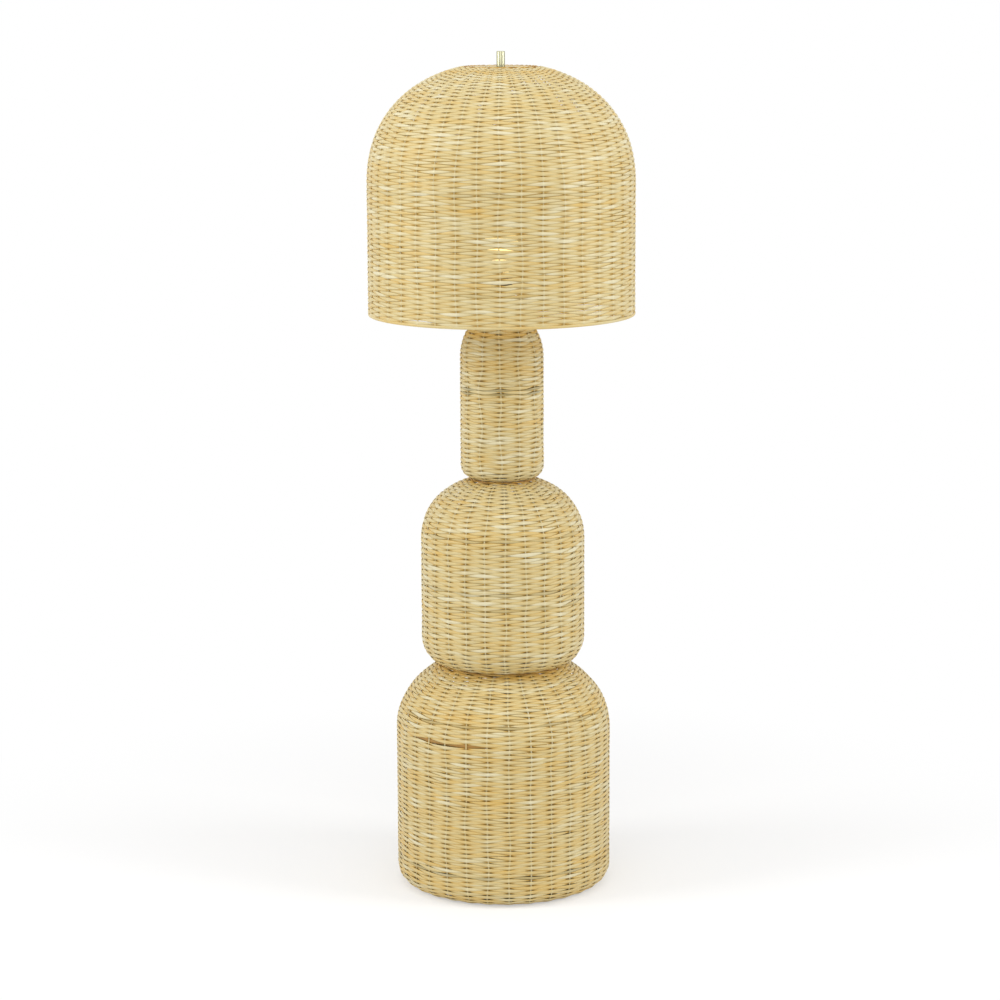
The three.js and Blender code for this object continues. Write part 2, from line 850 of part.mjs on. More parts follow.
place(
  stand, "cap_lock_nut", hexagon(lockNutRadius, lockNutHeight, nippleBore), brass,
  [0, 0, lockNutZ],
);
place(
  stand, "riser_collar", sleeve(nippleBore, collarRadius, collarHeight, tubeSides), brass,
  [0, 0, collarZ],
);

place(holder, "harp_saddle", saddle(), brass, [0, 0, saddleZ]);
place(holder, "harp", harp(), brass, [0, 0, socketCapZ]);
[["harp_sleeve_left", -harpFoot], ["harp_sleeve_right", harpFoot]].forEach(([name, x]) => {
  const tube = sleeve(harpWireRadius + looseFit, sleeveRadius, sleeveLength, tubeSides / 2);
  place(holder, name, tube, brass, [x, 0, saddleZ + postFootZ + fit]);
});
place(holder, "socket_cap", socketCap(), phenolic, [0, 0, socketCapZ]);
place(holder, "socket_shell", socketShell(), phenolic, [0, 0, socketShellZ]);
place(
  holder, "socket_interior", socketInterior(), phenolic, [0, 0, socketCapZ + socketCapHeight],
);
place(
  holder, "switch_knob", switchKnob(), phenolic,
  [0, -socketRadius - knobGap, socketCapZ + switchZ],
);

place(bulb, "bulb_cap", bulbCap(), brass, [0, 0, bulbCapZ]);
place(bulb, "bulb_glass", bulbGlass(), diffuser, [0, 0, bulbGlassZ]);

place(shade, "shade_woven_shell", shadeShell(), rattan, [0, 0, shadeRimZ]);
place(
  shade, "shade_rim_hoop", hoop(rimHoopRadius, rimHoopWireRadius, largeSides), cane,
  [0, 0, shadeRimZ + rimHoopWireRadius + rimHoopRise],
);
place(shade, "shade_spider", spider(), steel, [0, 0, hubZ]);
place(shade, "finial", finial(), brass, [0, 0, hubZ + spiderHubThickness]);

export default lamp;
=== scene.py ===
import math
from collections import namedtuple
from types import SimpleNamespace

import bmesh
import bpy
import numpy as np
from mathutils import Matrix, Vector


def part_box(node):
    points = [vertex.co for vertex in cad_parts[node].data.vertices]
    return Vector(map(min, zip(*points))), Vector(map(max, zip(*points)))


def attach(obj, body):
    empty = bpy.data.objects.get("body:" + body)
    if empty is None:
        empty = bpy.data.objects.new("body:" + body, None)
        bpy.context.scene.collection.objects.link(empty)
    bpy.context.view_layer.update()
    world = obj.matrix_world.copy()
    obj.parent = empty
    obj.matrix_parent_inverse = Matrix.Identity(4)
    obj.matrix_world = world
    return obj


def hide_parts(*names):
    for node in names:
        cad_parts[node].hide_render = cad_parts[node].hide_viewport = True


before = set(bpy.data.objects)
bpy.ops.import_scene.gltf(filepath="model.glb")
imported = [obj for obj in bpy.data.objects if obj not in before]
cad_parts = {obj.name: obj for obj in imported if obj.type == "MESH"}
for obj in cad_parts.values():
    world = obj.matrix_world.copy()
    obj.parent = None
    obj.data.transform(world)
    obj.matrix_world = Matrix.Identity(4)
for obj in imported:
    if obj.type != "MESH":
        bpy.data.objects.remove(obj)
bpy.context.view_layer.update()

# The camera stands 5.1 m before the lamp at 1.65 m, a little above its finial, and looks down
# at it. The lens gives the photograph's frame, and a slight roll its slight lean.
camera_distance = 5.10
camera_height = 1.65
camera_aside = -0.0045
camera_pitch = math.radians(10.434)
camera_roll = math.radians(-0.24)
photo_width_px = 1000
focal_length_px = 2857.66

camera_data = bpy.data.cameras.new("camera")
camera_data.lens = camera_data.sensor_width * focal_length_px / photo_width_px
camera = bpy.data.objects.new("camera", camera_data)
camera.location = (camera_aside, -camera_distance, camera_height)
aim = Matrix.Rotation(math.pi / 2 - camera_pitch, 4, "X") @ Matrix.Rotation(camera_roll, 4, "Z")
camera.rotation_euler = aim.to_euler()
bpy.context.scene.collection.objects.link(camera)
bpy.context.scene.camera = camera
bpy.context.scene.view_settings.view_transform = "Standard"

# The floor is a plain white sheet in an even white surround. It keeps the lamp's soft shadow
# close by, and further out it and the surround look white without any added light.
floor_half_size = 9.0
floor_colour = (0.92, 0.92, 0.92, 1)
floor_lit_share = 0.56
floor_glow = 0.44
shadow_inner_radius = 0.55
shadow_outer_radius = 1.35
surround_strength = 0.55
surround_white = (1, 1, 1, 1)


def add_node(tree, kind, sockets=None, **settings):
    """Node of a kind in a tree, with its settings. Each named or numbered socket takes a value,
    an output, or another node's first output."""
    node = tree.nodes.new(kind)
    for key, value in settings.items():
        setattr(node, key, value)
    for socket, value in (sockets or {}).items():
        if isinstance(value, bpy.types.Node):
            value = value.outputs[0]
        if isinstance(value, bpy.types.NodeSocket):
            tree.links.new(value, node.inputs[socket])
        else:
            node.inputs[socket].default_value = value
    return node


def seen_directly(tree):
    """Node that is 1 for camera, glossy and transmission rays and 0 for all others."""
    ray = add_node(tree, "ShaderNodeLightPath").outputs
    either = add_node(
        tree, "ShaderNodeMath", {0: ray["Is Camera Ray"], 1: ray["Is Glossy Ray"]},
        operation="MAXIMUM",
    )
    return add_node(
        tree, "ShaderNodeMath", {0: either, 1: ray["Is Transmission Ray"]}, operation="MAXIMUM",
    )


floor_mesh = bpy.data.meshes.new("floor")
half = floor_half_size
floor_mesh.from_pydata(
    [(-half, -half, 0), (half, -half, 0), (half, half, 0), (-half, half, 0)], [], [(0, 1, 2, 3)],
)
floor = bpy.data.objects.new("floor", floor_mesh)
bpy.context.scene.collection.objects.link(floor)
floor_material = bpy.data.materials.new("white_floor")
floor_material.use_nodes = True
tree = floor_material.node_tree
tree.nodes.clear()
plain = add_node(tree, "ShaderNodeBsdfDiffuse", {"Color": floor_colour})
shadowed = add_node(tree, "ShaderNodeBsdfDiffuse", {"Color": [floor_lit_share] * 3 + [1]})
glow = add_node(tree, "ShaderNodeEmission", {"Strength": floor_glow})
place = add_node(tree, "ShaderNodeTexCoord").outputs["Object"]
reach = add_node(tree, "ShaderNodeVectorMath", {0: place}, operation="LENGTH").outputs["Value"]
fade = add_node(tree, "ShaderNodeMapRange", {
    "Value": reach, "From Min": shadow_inner_radius, "From Max": shadow_outer_radius,
}, interpolation_type="SMOOTHSTEP")
both = add_node(tree, "ShaderNodeAddShader", {0: shadowed, 1: glow})
white = add_node(tree, "ShaderNodeEmission")
near = add_node(tree, "ShaderNodeMixShader", {0: fade, 1: both, 2: white})
pick = add_node(tree, "ShaderNodeMixShader", {0: seen_directly(tree), 1: plain, 2: near})
add_node(tree, "ShaderNodeOutputMaterial", {"Surface": pick})
floor_mesh.materials.append(floor_material)

world = bpy.data.worlds.new("white_surround")
bpy.context.scene.world = world
world.use_nodes = True
tree = world.node_tree
tree.nodes.clear()
lit = add_node(
    tree, "ShaderNodeBackground", {"Color": surround_white, "Strength": surround_strength},
)
shown = add_node(tree, "ShaderNodeBackground", {"Color": surround_white})
pick = add_node(tree, "ShaderNodeMixShader", {0: seen_directly(tree), 1: lit, 2: shown})
add_node(tree, "ShaderNodeOutputWorld", {"Surface": pick})


# Four softboxes light the lamp: a wide one in front, a tall one on either side, and one above.
# A small fifth light adds what the bulb throws down on the neck.
def softbox(name, place, size, power, target):
    """Rectangular area light at a place, turned to face a point."""
    data = bpy.data.lights.new(name, "AREA")
    data.shape = "RECTANGLE"
    data.size, data.size_y = size
    data.energy = power
    light = bpy.data.objects.new(name, data)
    light.location = place
    towards = Vector(target) - Vector(place)
    light.rotation_euler = towards.to_track_quat("-Z", "Y").to_euler()
    bpy.context.scene.collection.objects.link(light)


softbox("front_softbox", (-0.3, -3.5, 2.0), (2.6, 1.6), 19, (0, 0, 0.9))
softbox("top_softbox", (0, -0.9, 3.9), (2.2, 2.2), 23.5, (0, 0, 1.2))
softbox("left_softbox", (-2.9, -1.0, 2.25), (1.2, 2.0), 46, (0, 0, 1.3))
softbox("right_softbox", (2.9, -1.0, 2.25), (1.2, 2.0), 44, (0, 0, 1.3))
softbox("glow_below_the_bulb", (0, 0, 1.12), (0.3, 0.3), 0.26, (0, 0, 0))


# A dark felt disc is glued under the weight and is what the lamp rests on.
def effect_group(name, **sockets):
    """Shader node group with named inputs of given types and one output, Value. Gives the
    group, its inputs and the socket that its value goes to."""
    group = bpy.data.node_groups.new(name, "ShaderNodeTree")
    for socket, kind in sockets.items():
        group.interface.new_socket(socket, in_out="INPUT", socket_type=f"NodeSocket{kind}")
    group.interface.new_socket("Value", in_out="OUTPUT", socket_type="NodeSocketFloat")
    given = group.nodes.new("NodeGroupInput").outputs
    return group, given, group.nodes.new("NodeGroupOutput").inputs["Value"]


def add_effect(tree, group, sockets):
    """Value of an effect group in a tree, with its sockets set."""
    return add_node(tree, "ShaderNodeGroup", sockets, node_tree=group).outputs["Value"]


def cloudy(scale, detail, stretch=(1, 1, 1)):
    """Settings of the mottle effect."""
    return {"Scale": scale, "Detail": detail, "Stretch": stretch}


def new_material(name):
    """Material with its node tree and its shader."""
    material = bpy.data.materials.new(name)
    material.use_nodes = True
    return material, material.node_tree, material.node_tree.nodes["Principled BSDF"]


def vary_surface(tree, value, rough, depth, strength=1.0):
    """Sets a material's roughness between two limits by an effect's value, which also stands
    out by a depth in metres."""
    shader = tree.nodes["Principled BSDF"]
    spread = add_node(tree, "ShaderNodeMapRange", {
        "Value": value, "From Min": effect_range[0], "From Max": effect_range[1],
        "To Min": rough[0], "To Max": rough[1],
    })
    tree.links.new(spread.outputs[0], shader.inputs["Roughness"])
    bump = add_node(
        tree, "ShaderNodeBump", {"Height": value, "Distance": depth, "Strength": strength},
    )
    tree.links.new(bump.outputs[0], shader.inputs["Normal"])


def finish(name, effect, sockets, low, high, rough, depth, metallic=0.0):
    """Material whose colour goes from low to high, and roughness over a range, with an effect
    group's value over the surface, which also stands out by a depth in metres."""
    material, tree, shader = new_material(name)
    shader.inputs["Metallic"].default_value = metallic
    value = add_effect(tree, effect, sockets)
    ramp = add_node(tree, "ShaderNodeValToRGB", {0: value})
    for stop, position, colour in zip(ramp.color_ramp.elements, effect_range, (low, high)):
        stop.position = position
        stop.color = (*colour, 1)
    tree.links.new(ramp.outputs[0], shader.inputs["Base Color"])
    vary_surface(tree, value, rough, depth)
    return material


def coat(material, *names):
    """Gives CAD nodes a material in place of their own."""
    for name in names:
        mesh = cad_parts[name].data
        mesh.materials.clear()
        mesh.materials.append(material)


# The mottle effect is cloudy noise on Object coordinates times a stretch.
effect_range = (0.3, 0.7)
mottle, given, value = effect_group("mottle", Scale="Float", Detail="Float", Stretch="Vector")
place = add_node(mottle, "ShaderNodeTexCoord").outputs["Object"]
spread = add_node(
    mottle, "ShaderNodeVectorMath", {0: place, 1: given["Stretch"]}, operation="MULTIPLY",
)
noise = add_node(mottle, "ShaderNodeTexNoise", {
    "Vector": spread, "Scale": given["Scale"], "Detail": given["Detail"],
})
mottle.links.new(noise.outputs[0], value)
grey_felt = finish(
    "grey_felt", mottle, cloudy(900, 4), (0.035, 0.034, 0.032), (0.075, 0.073, 0.07),
    (0.9, 1.0), 0.0004,
)
grey_felt.node_tree.nodes["Principled BSDF"].inputs["Sheen Weight"].default_value = 0.4
coat(grey_felt, "base_felt_pad")

# The weight is a cast-iron disc, painted matt black over its sand-cast skin. Its flange clamps
# the turned-in lip of the base weave from above.
painted_iron = finish(
    "painted_iron", mottle, cloudy(260, 5), (0.018, 0.018, 0.02),
    (0.04, 0.04, 0.043), (0.5, 0.72), 0.0006,
)
coat(painted_iron, "base_weight")

# Tubes, plates, connectors, plug, bolt and washer are steel, zinc plated and left bright: they
# pull the three sections together on the weight.
# The spangle effect is soft crystal cells about 8 mm across, clouded by noise.
spangle, given, value = effect_group("spangle", Scale="Float")
place = add_node(spangle, "ShaderNodeTexCoord").outputs["Object"]
cells = add_node(spangle, "ShaderNodeTexVoronoi", {"Vector": place, "Scale": given["Scale"]})
mix = add_node(spangle, "ShaderNodeMix", {
    "Factor": 0.6, 2: cells.outputs["Distance"], 3: add_effect(spangle, mottle, cloudy(400, 3)),
})
spangle.links.new(mix.outputs[0], value)
zinc_plate = finish(
    "zinc_plate", spangle, {"Scale": 120}, (0.46, 0.47, 0.49), (0.66, 0.67, 0.68),
    (0.28, 0.46), 0.00004, 1.0,
)
coat(
    zinc_plate, "base_bolt", "base_washer", "tube_foot_plug", "base_tube", "mid_tube",
    "neck_tube", "lower_junction_plate", "upper_junction_plate", "lower_connector",
    "upper_connector", "top_bush", "lamp_nipple",
)

# The base is a drum of plain weave: 31 upright stakes, and one long weaver that passes before
# one stake and behind the next. Both are natural rattan core, pressed oval as it is packed
# down, and the stakes' ends turn along the foot and the mouth as a rolled border.
stake_half_thickness = 0.0009
stake_half_width = 0.0013
weaver_half_thickness = 0.0008
press_together = 0.0003
weave_reach = stake_half_thickness + weaver_half_thickness - press_together
half_wall = weave_reach + weaver_half_thickness
snap = 2.5
weaver_fill = 1.10
crest_spread = 0.36
strand_sides = 8
wire_sides = 14
gap_steps = (0, 0.07, 0.17, 0.30, 0.5, 0.70, 0.83, 0.93)
upward = np.array([0.0, 0.0, 1.0])
line_step = 0.0005
stake_step = 0.006
settling_rounds = 4
stake_sway_span = (0.09, 0.30)
row_sway_rounds = (3, 7, 12)
row_sway_span = (0.05, 0.14)
slit_reach = 0.016
slit_edge = 0.002
swell_share, swell_length = 0.04, 0.37
ripple_share, ripple_length = 0.03, 0.013
strand_lengths = (0.5, 1.6)
own_tone = (0.40, 0.07)
tone_knots = (0.020, 0.070)
near_tone_spread = 0.09
highlight_streak_share = 0.10
highlight_streak_tone = -0.5
stake_tone_spread = 0.1
# Paler where a weaver bulges over a stake: a painted highlight.
crest_highlight_tone = -0.22
crest_highlight_sharpness = 60
# Browner sunk rows: painted shade.
sunk_shade_tone = 0.6
mark_fade = 1.6
stained_narrowing = 0.6
# Browner along each strand's two edges: painted shade in the valleys between rows.
edge_shade_tone = 0.22
fibre_tone = 1.6
fibre_depth = 0.0003
border_steps = 40
border_shift = 0.06
border_wind = 0.9
border_lean = 0.1
border_tip = 0.3
border_tone_spread = 0.15
bake_fill = 0.94
bake_cap = 0.0005


def rounded_shoulder(radius, dome_height, roundness, opening, foot_height):
    """Superellipse from the straight side in to the opening, as [radius, height] rows: radius
    times cos(t) to the power 2/roundness, dome_height times sin(t) to the same power."""
    power = 2 / roundness
    last = math.acos((opening / radius) ** (1 / power))
    turn = np.linspace(0, last, 120)
    height = foot_height + dome_height * np.sin(turn) ** power
    return np.c_[radius * np.cos(turn) ** power, height]


def wall_along(points):
    """Middle line of a woven wall, resampled at even lengths, with its own upward direction."""
    gaps = np.hypot(*np.diff(points, axis=0).T)
    points = points[np.r_[True, gaps > line_step / 50]]
    length = np.r_[0, np.cumsum(np.hypot(*np.diff(points, axis=0).T))]
    even = np.linspace(0, length[-1], int(length[-1] / line_step) + 1)
    radius, height = (np.interp(even, length, points[:, i]) for i in (0, 1))
    slope_r, slope_z = np.gradient(radius, even), np.gradient(height, even)
    size = np.hypot(slope_r, slope_z)
    return SimpleNamespace(
        length=even, radius=radius, height=height, up_r=slope_r / size, up_z=slope_z / size,
        total=even[-1],
    )


def section_wall(node, shoulder, opening, roundness, corner_width=0, corner_height=0, lip=0):
    """Middle line of a woven wall: a flat lip and a foot that is a quarter ellipse, where it has
    them, a straight side, and a rounded shoulder. The shoulder is the part outside the opening
    of a whole dome, whose height follows from the shoulder's."""
    low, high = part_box(node)
    radius = max(math.hypot(v.co.x, v.co.y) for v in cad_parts[node].data.vertices)
    foot = radius - corner_width
    start = [[radius - half_wall, low.z]]
    if lip:
        turn = np.linspace(-math.pi / 2, 0, 24)
        start = np.vstack([[foot - lip, low.z + half_wall], np.c_[
            foot + (corner_width - half_wall) * np.cos(turn),
            low.z + corner_height + (corner_height - half_wall) * np.sin(turn),
        ]])
    dome_height = shoulder / (1 - (opening / radius) ** roundness) ** (1 / roundness)
    wall = wall_along(np.vstack([start, rounded_shoulder(
        radius - half_wall, dome_height - half_wall, roundness, opening - half_wall,
        high.z - shoulder,
    )]))
    wall.foot_radius, wall.foot_height, wall.top_height = foot, low.z, high.z
    return wall


def length_at(wall, height):
    """Length along a wall at which it reaches a height above its foot."""
    rising = np.r_[True, np.diff(wall.height) > 1e-7]
    return np.interp(height, wall.height[rising], wall.length[rising])


def on_wall(wall, along, angle, out):
    """Points on a wall: a length along its middle line, an angle from the front that grows
    to the right, and a distance out. Also gives the wall's own upward direction there."""
    radius, height, up_r, up_z = (
        np.interp(along, wall.length, values)
        for values in (wall.radius, wall.height, wall.up_r, wall.up_z)
    )
    size = np.hypot(up_r, up_z)
    up_r, up_z = up_r / size, up_z / size
    radius = radius + out * up_z
    height = height - out * up_r
    across, away = np.sin(angle), -np.cos(angle)
    place = np.stack([radius * across, radius * away, height], -1)
    return place, np.stack([up_r * across, up_r * away, up_z], -1)


def waves(rng, rounds, span, size):
    """Smooth random field over a wall: a sum of sines with whole waves round it and a
    wavelength up it. Its root mean square is size."""
    start = rng.uniform(0, 2 * math.pi, len(rounds))
    climb = 2 * math.pi / rng.uniform(*span, len(rounds)) * rng.choice([-1, 1], len(rounds))
    weight = rng.uniform(0.6, 1.0, len(rounds))
    weight *= size * math.sqrt(2) / np.linalg.norm(weight)

    def field(angle, along):
        return sum(
            w * np.sin(m * angle + k * along + c)
            for w, m, k, c in zip(weight, rounds, climb, start)
        )

    return field


def shown_piece(name, mesh, material, body, slot):
    """Object of a finished mesh with its material, that rides on a body. Its slot is not used."""
    piece = bpy.data.objects.new(name, mesh)
    bpy.context.scene.collection.objects.link(piece)
    mesh.materials.clear()
    mesh.materials.append(material)
    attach(piece, body)
    return piece


def quad_map(start, stop, low, high):
    """Map of quads' corners, from start to stop along and from low to high across, in rows."""
    along, across = [start, start, stop, stop], [low, high, high, low]
    return np.stack([np.stack(along, -1), np.stack(across, -1)], -1).reshape(-1, 2)


def strand_piece(name, look, centre, side, half_side, half_out, sides, strip, tone, stain=0.0):
    """Closed strands: ovals carried along paths. centre is (strands, steps, 3), and an oval's
    point is centre + half_side cos(a) side + half_out sin(a) out, with a from 0 to 2 pi. The
    map named strand runs in metres along and from 0 to 1 around, and OFBake lays each strip of
    steps on a row of its own. look is the piece's material, body and slot."""
    count, steps, _ = centre.shape
    path = np.gradient(centre, axis=1)
    path /= np.linalg.norm(path, axis=2, keepdims=True)
    side = side - path * np.sum(side * path, axis=2, keepdims=True)
    side /= np.linalg.norm(side, axis=2, keepdims=True)
    out = np.cross(path, side)
    turn = np.arange(sides) * 2 * math.pi / sides
    half_side = np.broadcast_to(half_side, (count, steps))[..., None, None]
    half_out = np.broadcast_to(half_out, (count, steps))[..., None, None]
    points = (
        centre[:, :, None]
        + half_side * np.cos(turn)[:, None] * side[:, :, None]
        + half_out * np.sin(turn)[:, None] * out[:, :, None]
    )
    ring = np.arange(count * steps * sides).reshape(count, steps, sides)
    here, there = ring[:, :-1], ring[:, 1:]
    quads = np.stack([here, np.roll(here, -1, 2), np.roll(there, -1, 2), there], -1)
    caps = np.stack([ring[:, 0, ::-1], ring[:, -1]], 1).reshape(-1, sides)

    walked = np.linalg.norm(np.diff(centre, axis=1), axis=2)
    walked = np.concatenate([np.zeros((count, 1)), np.cumsum(walked, 1)], 1)
    low, high = np.arange(sides) / sides, (np.arange(sides) + 1) / sides
    blank = 0 * low + 0 * walked[:, :-1, None]
    around = [low + blank, high + blank]
    strand_uv = quad_map(walked[:, :-1, None] + blank, walked[:, 1:, None] + blank, *around)
    step = np.arange(steps - 1)
    strips = -(-(steps - 1) // strip)
    row = (step // strip)[None, :, None] + strips * np.arange(count)[:, None, None]
    before = ((step % strip) / strip)[None, :, None] + blank
    bake_v = [
        (row + (1 - bake_fill) / 2 + bake_fill * share) / (strips * count) for share in around
    ]
    bake_uv = quad_map(before, before + 1 / strip, *bake_v)
    cap_walk = np.stack([walked[:, 0], walked[:, -1]], 1).reshape(-1, 1)
    cap_uv = np.stack([cap_walk + 0 * low, low + 0 * cap_walk], -1).reshape(-1, 2)
    cap_row = np.repeat(strips * np.arange(count), 2)[:, None]
    cap_v = (cap_row + low) / (strips * count)
    cap_bake = np.stack([bake_cap + 0 * cap_v, cap_v], -1)

    mesh = bpy.data.meshes.new(name)
    mesh.vertices.add(points.size // 3)
    mesh.vertices.foreach_set("co", points.astype(np.float32).ravel())
    corners = np.concatenate([quads.ravel(), caps.ravel()])
    totals = np.r_[np.full(quads.size // 4, 4), np.full(len(caps), sides)]
    mesh.loops.add(len(corners))
    mesh.loops.foreach_set("vertex_index", corners.astype(np.int32))
    mesh.polygons.add(len(totals))
    mesh.polygons.foreach_set("loop_start", np.r_[0, np.cumsum(totals)[:-1]].astype(np.int32))
    mesh.shade_smooth()
    for layer, uv in (
        ("strand", np.concatenate([strand_uv, cap_uv])),
        ("OFBake", np.concatenate([bake_uv, cap_bake.reshape(-1, 2)])),
    ):
        made = mesh.uv_layers.new(name=layer)
        made.uv.foreach_set("vector", uv.astype(np.float32).ravel())
    for layer, values in (("tone", tone), ("stain", stain)):
        values = np.broadcast_to(values, (count, steps))
        made = mesh.attributes.new(layer, "FLOAT", "POINT")
        made.data.foreach_set("value", np.repeat(values.ravel(), sides).astype(np.float32))
    mesh.update()
    mesh.validate()
    return shown_piece(name, mesh, *look)


def strand_tone(rng, walked):
    """Colour of a long weaver, 0 pale to 1 honey: each length of rattan has a tone of its own,
    and every few centimetres a value that the next one is reached from in a straight line. A
    few of these are pale streaks, painted highlights on the floats."""
    ends = np.cumsum(rng.uniform(*strand_lengths, int(walked.max() / strand_lengths[0]) + 2))
    own = np.clip(rng.normal(*own_tone, len(ends) + 1), 0, 1)
    knots = np.cumsum(rng.uniform(*tone_knots, int(walked.max() / tone_knots[0]) + 2))
    near = rng.normal(0, near_tone_spread, len(knots))
    near += highlight_streak_tone * (rng.uniform(size=len(knots)) < highlight_streak_share)
    return own[np.searchsorted(ends, walked)] + np.interp(walked, knots, near)


def end_shade_and_glow(tone, reach, away):
    """Browner tone near a wall's end: tone at the end itself, fading over a reach. It is painted
    shade where a wall meets the floor or the next section, and on the neck's top painted warm
    light from the bulb.
    """
    return tone * np.clip(1 - away / reach, 0, 1)


def row_share(wall, size, mark, turn, start):
    """1 over a mark's stretch of the one row it lies on, fading to 0 at the ends of its sweep,
    for a weaver's turns from its start angle."""
    middle = (math.radians(mark.angle) - start) / (2 * math.pi)
    row = round((length_at(wall, mark.height) - size.first) / size.pitch - middle)
    aside = np.abs(turn - row - middle) * 360 / mark.sweep
    return np.clip(mark_fade - mark_fade * aside, 0, 1)


def weave(name, wall, rng, body, bands, slits=(), sinks=(), stains=(), **size):
    """Pieces of one woven wall: weavers in bands, and stakes. A weaver climbs one pitch a turn.
    Its distance out is reach times c |c| to the power snap - 1, where c is the cosine of
    stakes/2 times the angle from a stake, so that with an odd number of stakes each turn
    passes behind what the last one passed before."""
    size = SimpleNamespace(**size)
    stake_sway = waves(rng, (5, 9, size.stakes // 2), stake_sway_span, size.stake_wander)
    row_sway = waves(rng, row_sway_rounds, row_sway_span, size.row_wander)
    turn_steps = size.stakes * len(gap_steps)
    turns = (wall.total - size.top_gap - size.first) / size.pitch
    gap = np.arange(int(turns * size.stakes))[:, None] + np.array(gap_steps)
    turn = np.r_[gap.ravel(), len(gap)] / size.stakes
    even = math.radians(size.stake_angle) + 2 * math.pi * (turn + size.stakes // 2 / size.stakes)
    along = size.first + size.pitch * turn
    angle = even
    for _ in range(settling_rounds):
        angle = even + stake_sway(angle, along)
    ease = np.clip(np.minimum(turn, turns - turn), 0, 1)
    shift = row_sway(angle, along)
    for slit in slits:
        apart = along - length_at(wall, slit.height)
        aside = np.angle(np.exp(1j * (angle - math.radians(slit.angle))))
        spread = np.exp(-(apart / slit_reach) ** 2 - (aside / math.radians(slit.sweep)) ** 2)
        shift += slit.open * np.tanh(apart / slit_edge) * spread
    along = along + ease * shift
    swing = np.cos(math.pi * size.stakes * turn)
    out = weave_reach * swing * np.abs(swing) ** (snap - 1)
    sunk = sum(row_share(wall, size, mark, turn, angle[0]) * mark.depth for mark in sinks)
    out = out + sunk * (-weave_reach - out)
    centre, up = on_wall(wall, along, angle, out)
    walked = np.r_[0, np.cumsum(np.linalg.norm(np.diff(centre, axis=0), axis=1))]
    tone = (
        # weaver_tone darkens the lower sections' weavers: painted shade, for less light low down.
        size.weaver_tone + strand_tone(rng, walked)
        # recess browns a strand where it passes behind a stake: painted shade.
        + size.recess * np.clip(-out / weave_reach, 0, 1) ** 2
        + crest_highlight_tone * np.clip(swing, 0, 1) ** crest_highlight_sharpness + sunk_shade_tone * sunk
        + end_shade_and_glow(*size.foot_end, along) + end_shade_and_glow(*size.mouth_end, wall.total - along)
    )
    stain = np.zeros(len(turn))
    for mark in stains:
        stain = np.maximum(stain, mark.depth * row_share(wall, size, mark, turn, angle[0]))
    swell = 1 + swell_share * np.sin(2 * math.pi * walked / swell_length)
    swell = swell + ripple_share * np.sin(walked / ripple_length)
    thinness = 1 - stained_narrowing * stain
    bulge = 1 + crest_spread * swing * thinness
    half_side = size.pitch / 2 * weaver_fill * swell * bulge * thinness
    look = (natural_rattan, body, "rattan")
    edges = np.linspace(0, int(turns), bands + 1).round().astype(int) * turn_steps
    edges[-1] = len(turn) - 1
    for i, (start, stop) in enumerate(zip(edges[:-1], edges[1:]), 1):
        part = slice(start, stop + 1)
        strand_piece(
            f"{name}_weaver_{i}", look, centre[None, part], up[None, part], half_side[None, part],
            weaver_half_thickness, strand_sides, turn_steps, tone[None, part], stain[None, part],
        )

    along = np.arange(size.stake_first, wall.total, stake_step)
    along = np.broadcast_to(along, (size.stakes, len(along)))
    angle = np.linspace(0, 2 * math.pi, size.stakes, endpoint=False)[:, None]
    angle = angle + math.radians(size.stake_angle)
    settled = angle + 0 * along
    for _ in range(settling_rounds):
        settled = angle + stake_sway(settled, along)
    centre, up = on_wall(wall, along, settled, 0)
    round_the_wall = np.stack([np.cos(settled), np.sin(settled), 0 * settled], -1)
    tone = rng.normal(size.stake_tone, stake_tone_spread, (size.stakes, 1))
    return strand_piece(
        f"{name}_stakes", look, centre, round_the_wall, stake_half_width, stake_half_thickness,
        strand_sides, along.shape[1] - 1, tone,
    )


# The fibres effect is fine noise along a strand, from its strand map, with a mean of 0.5.
fibres, given, value = effect_group("fibres", Map="Vector")
layers = {"Factor": 0.5}
for scale, socket in (((28, 26, 1), 2), ((16, 6, 1), 3)):
    mapping = add_node(fibres, "ShaderNodeMapping", {"Vector": given["Map"], "Scale": scale})
    layers[socket] = add_node(
        fibres, "ShaderNodeTexNoise", {"Vector": mapping, "Scale": 1, "Detail": 2},
    )
fibres.links.new(add_node(fibres, "ShaderNodeMix", layers).outputs[0], value)

# The strand_edges effect is 1 along a strand's two edges and 0 on its faces: the cube of the
# cosine of the angle round it, from its strand map. The rattan browns these edges by it, as
# painted shade in the valleys between rows.
strand_edges, given, value = effect_group("strand_edges", Map="Vector")
split = add_node(strand_edges, "ShaderNodeSeparateXYZ", {0: given["Map"]})
share = split.outputs["Y"]
for operation, amount in (
    ("MULTIPLY", 2 * math.pi), ("COSINE", 0), ("ABSOLUTE", 0), ("POWER", 3),
):
    share = add_node(strand_edges, "ShaderNodeMath", {0: share, 1: amount}, operation=operation)
strand_edges.links.new(share.outputs[0], value)

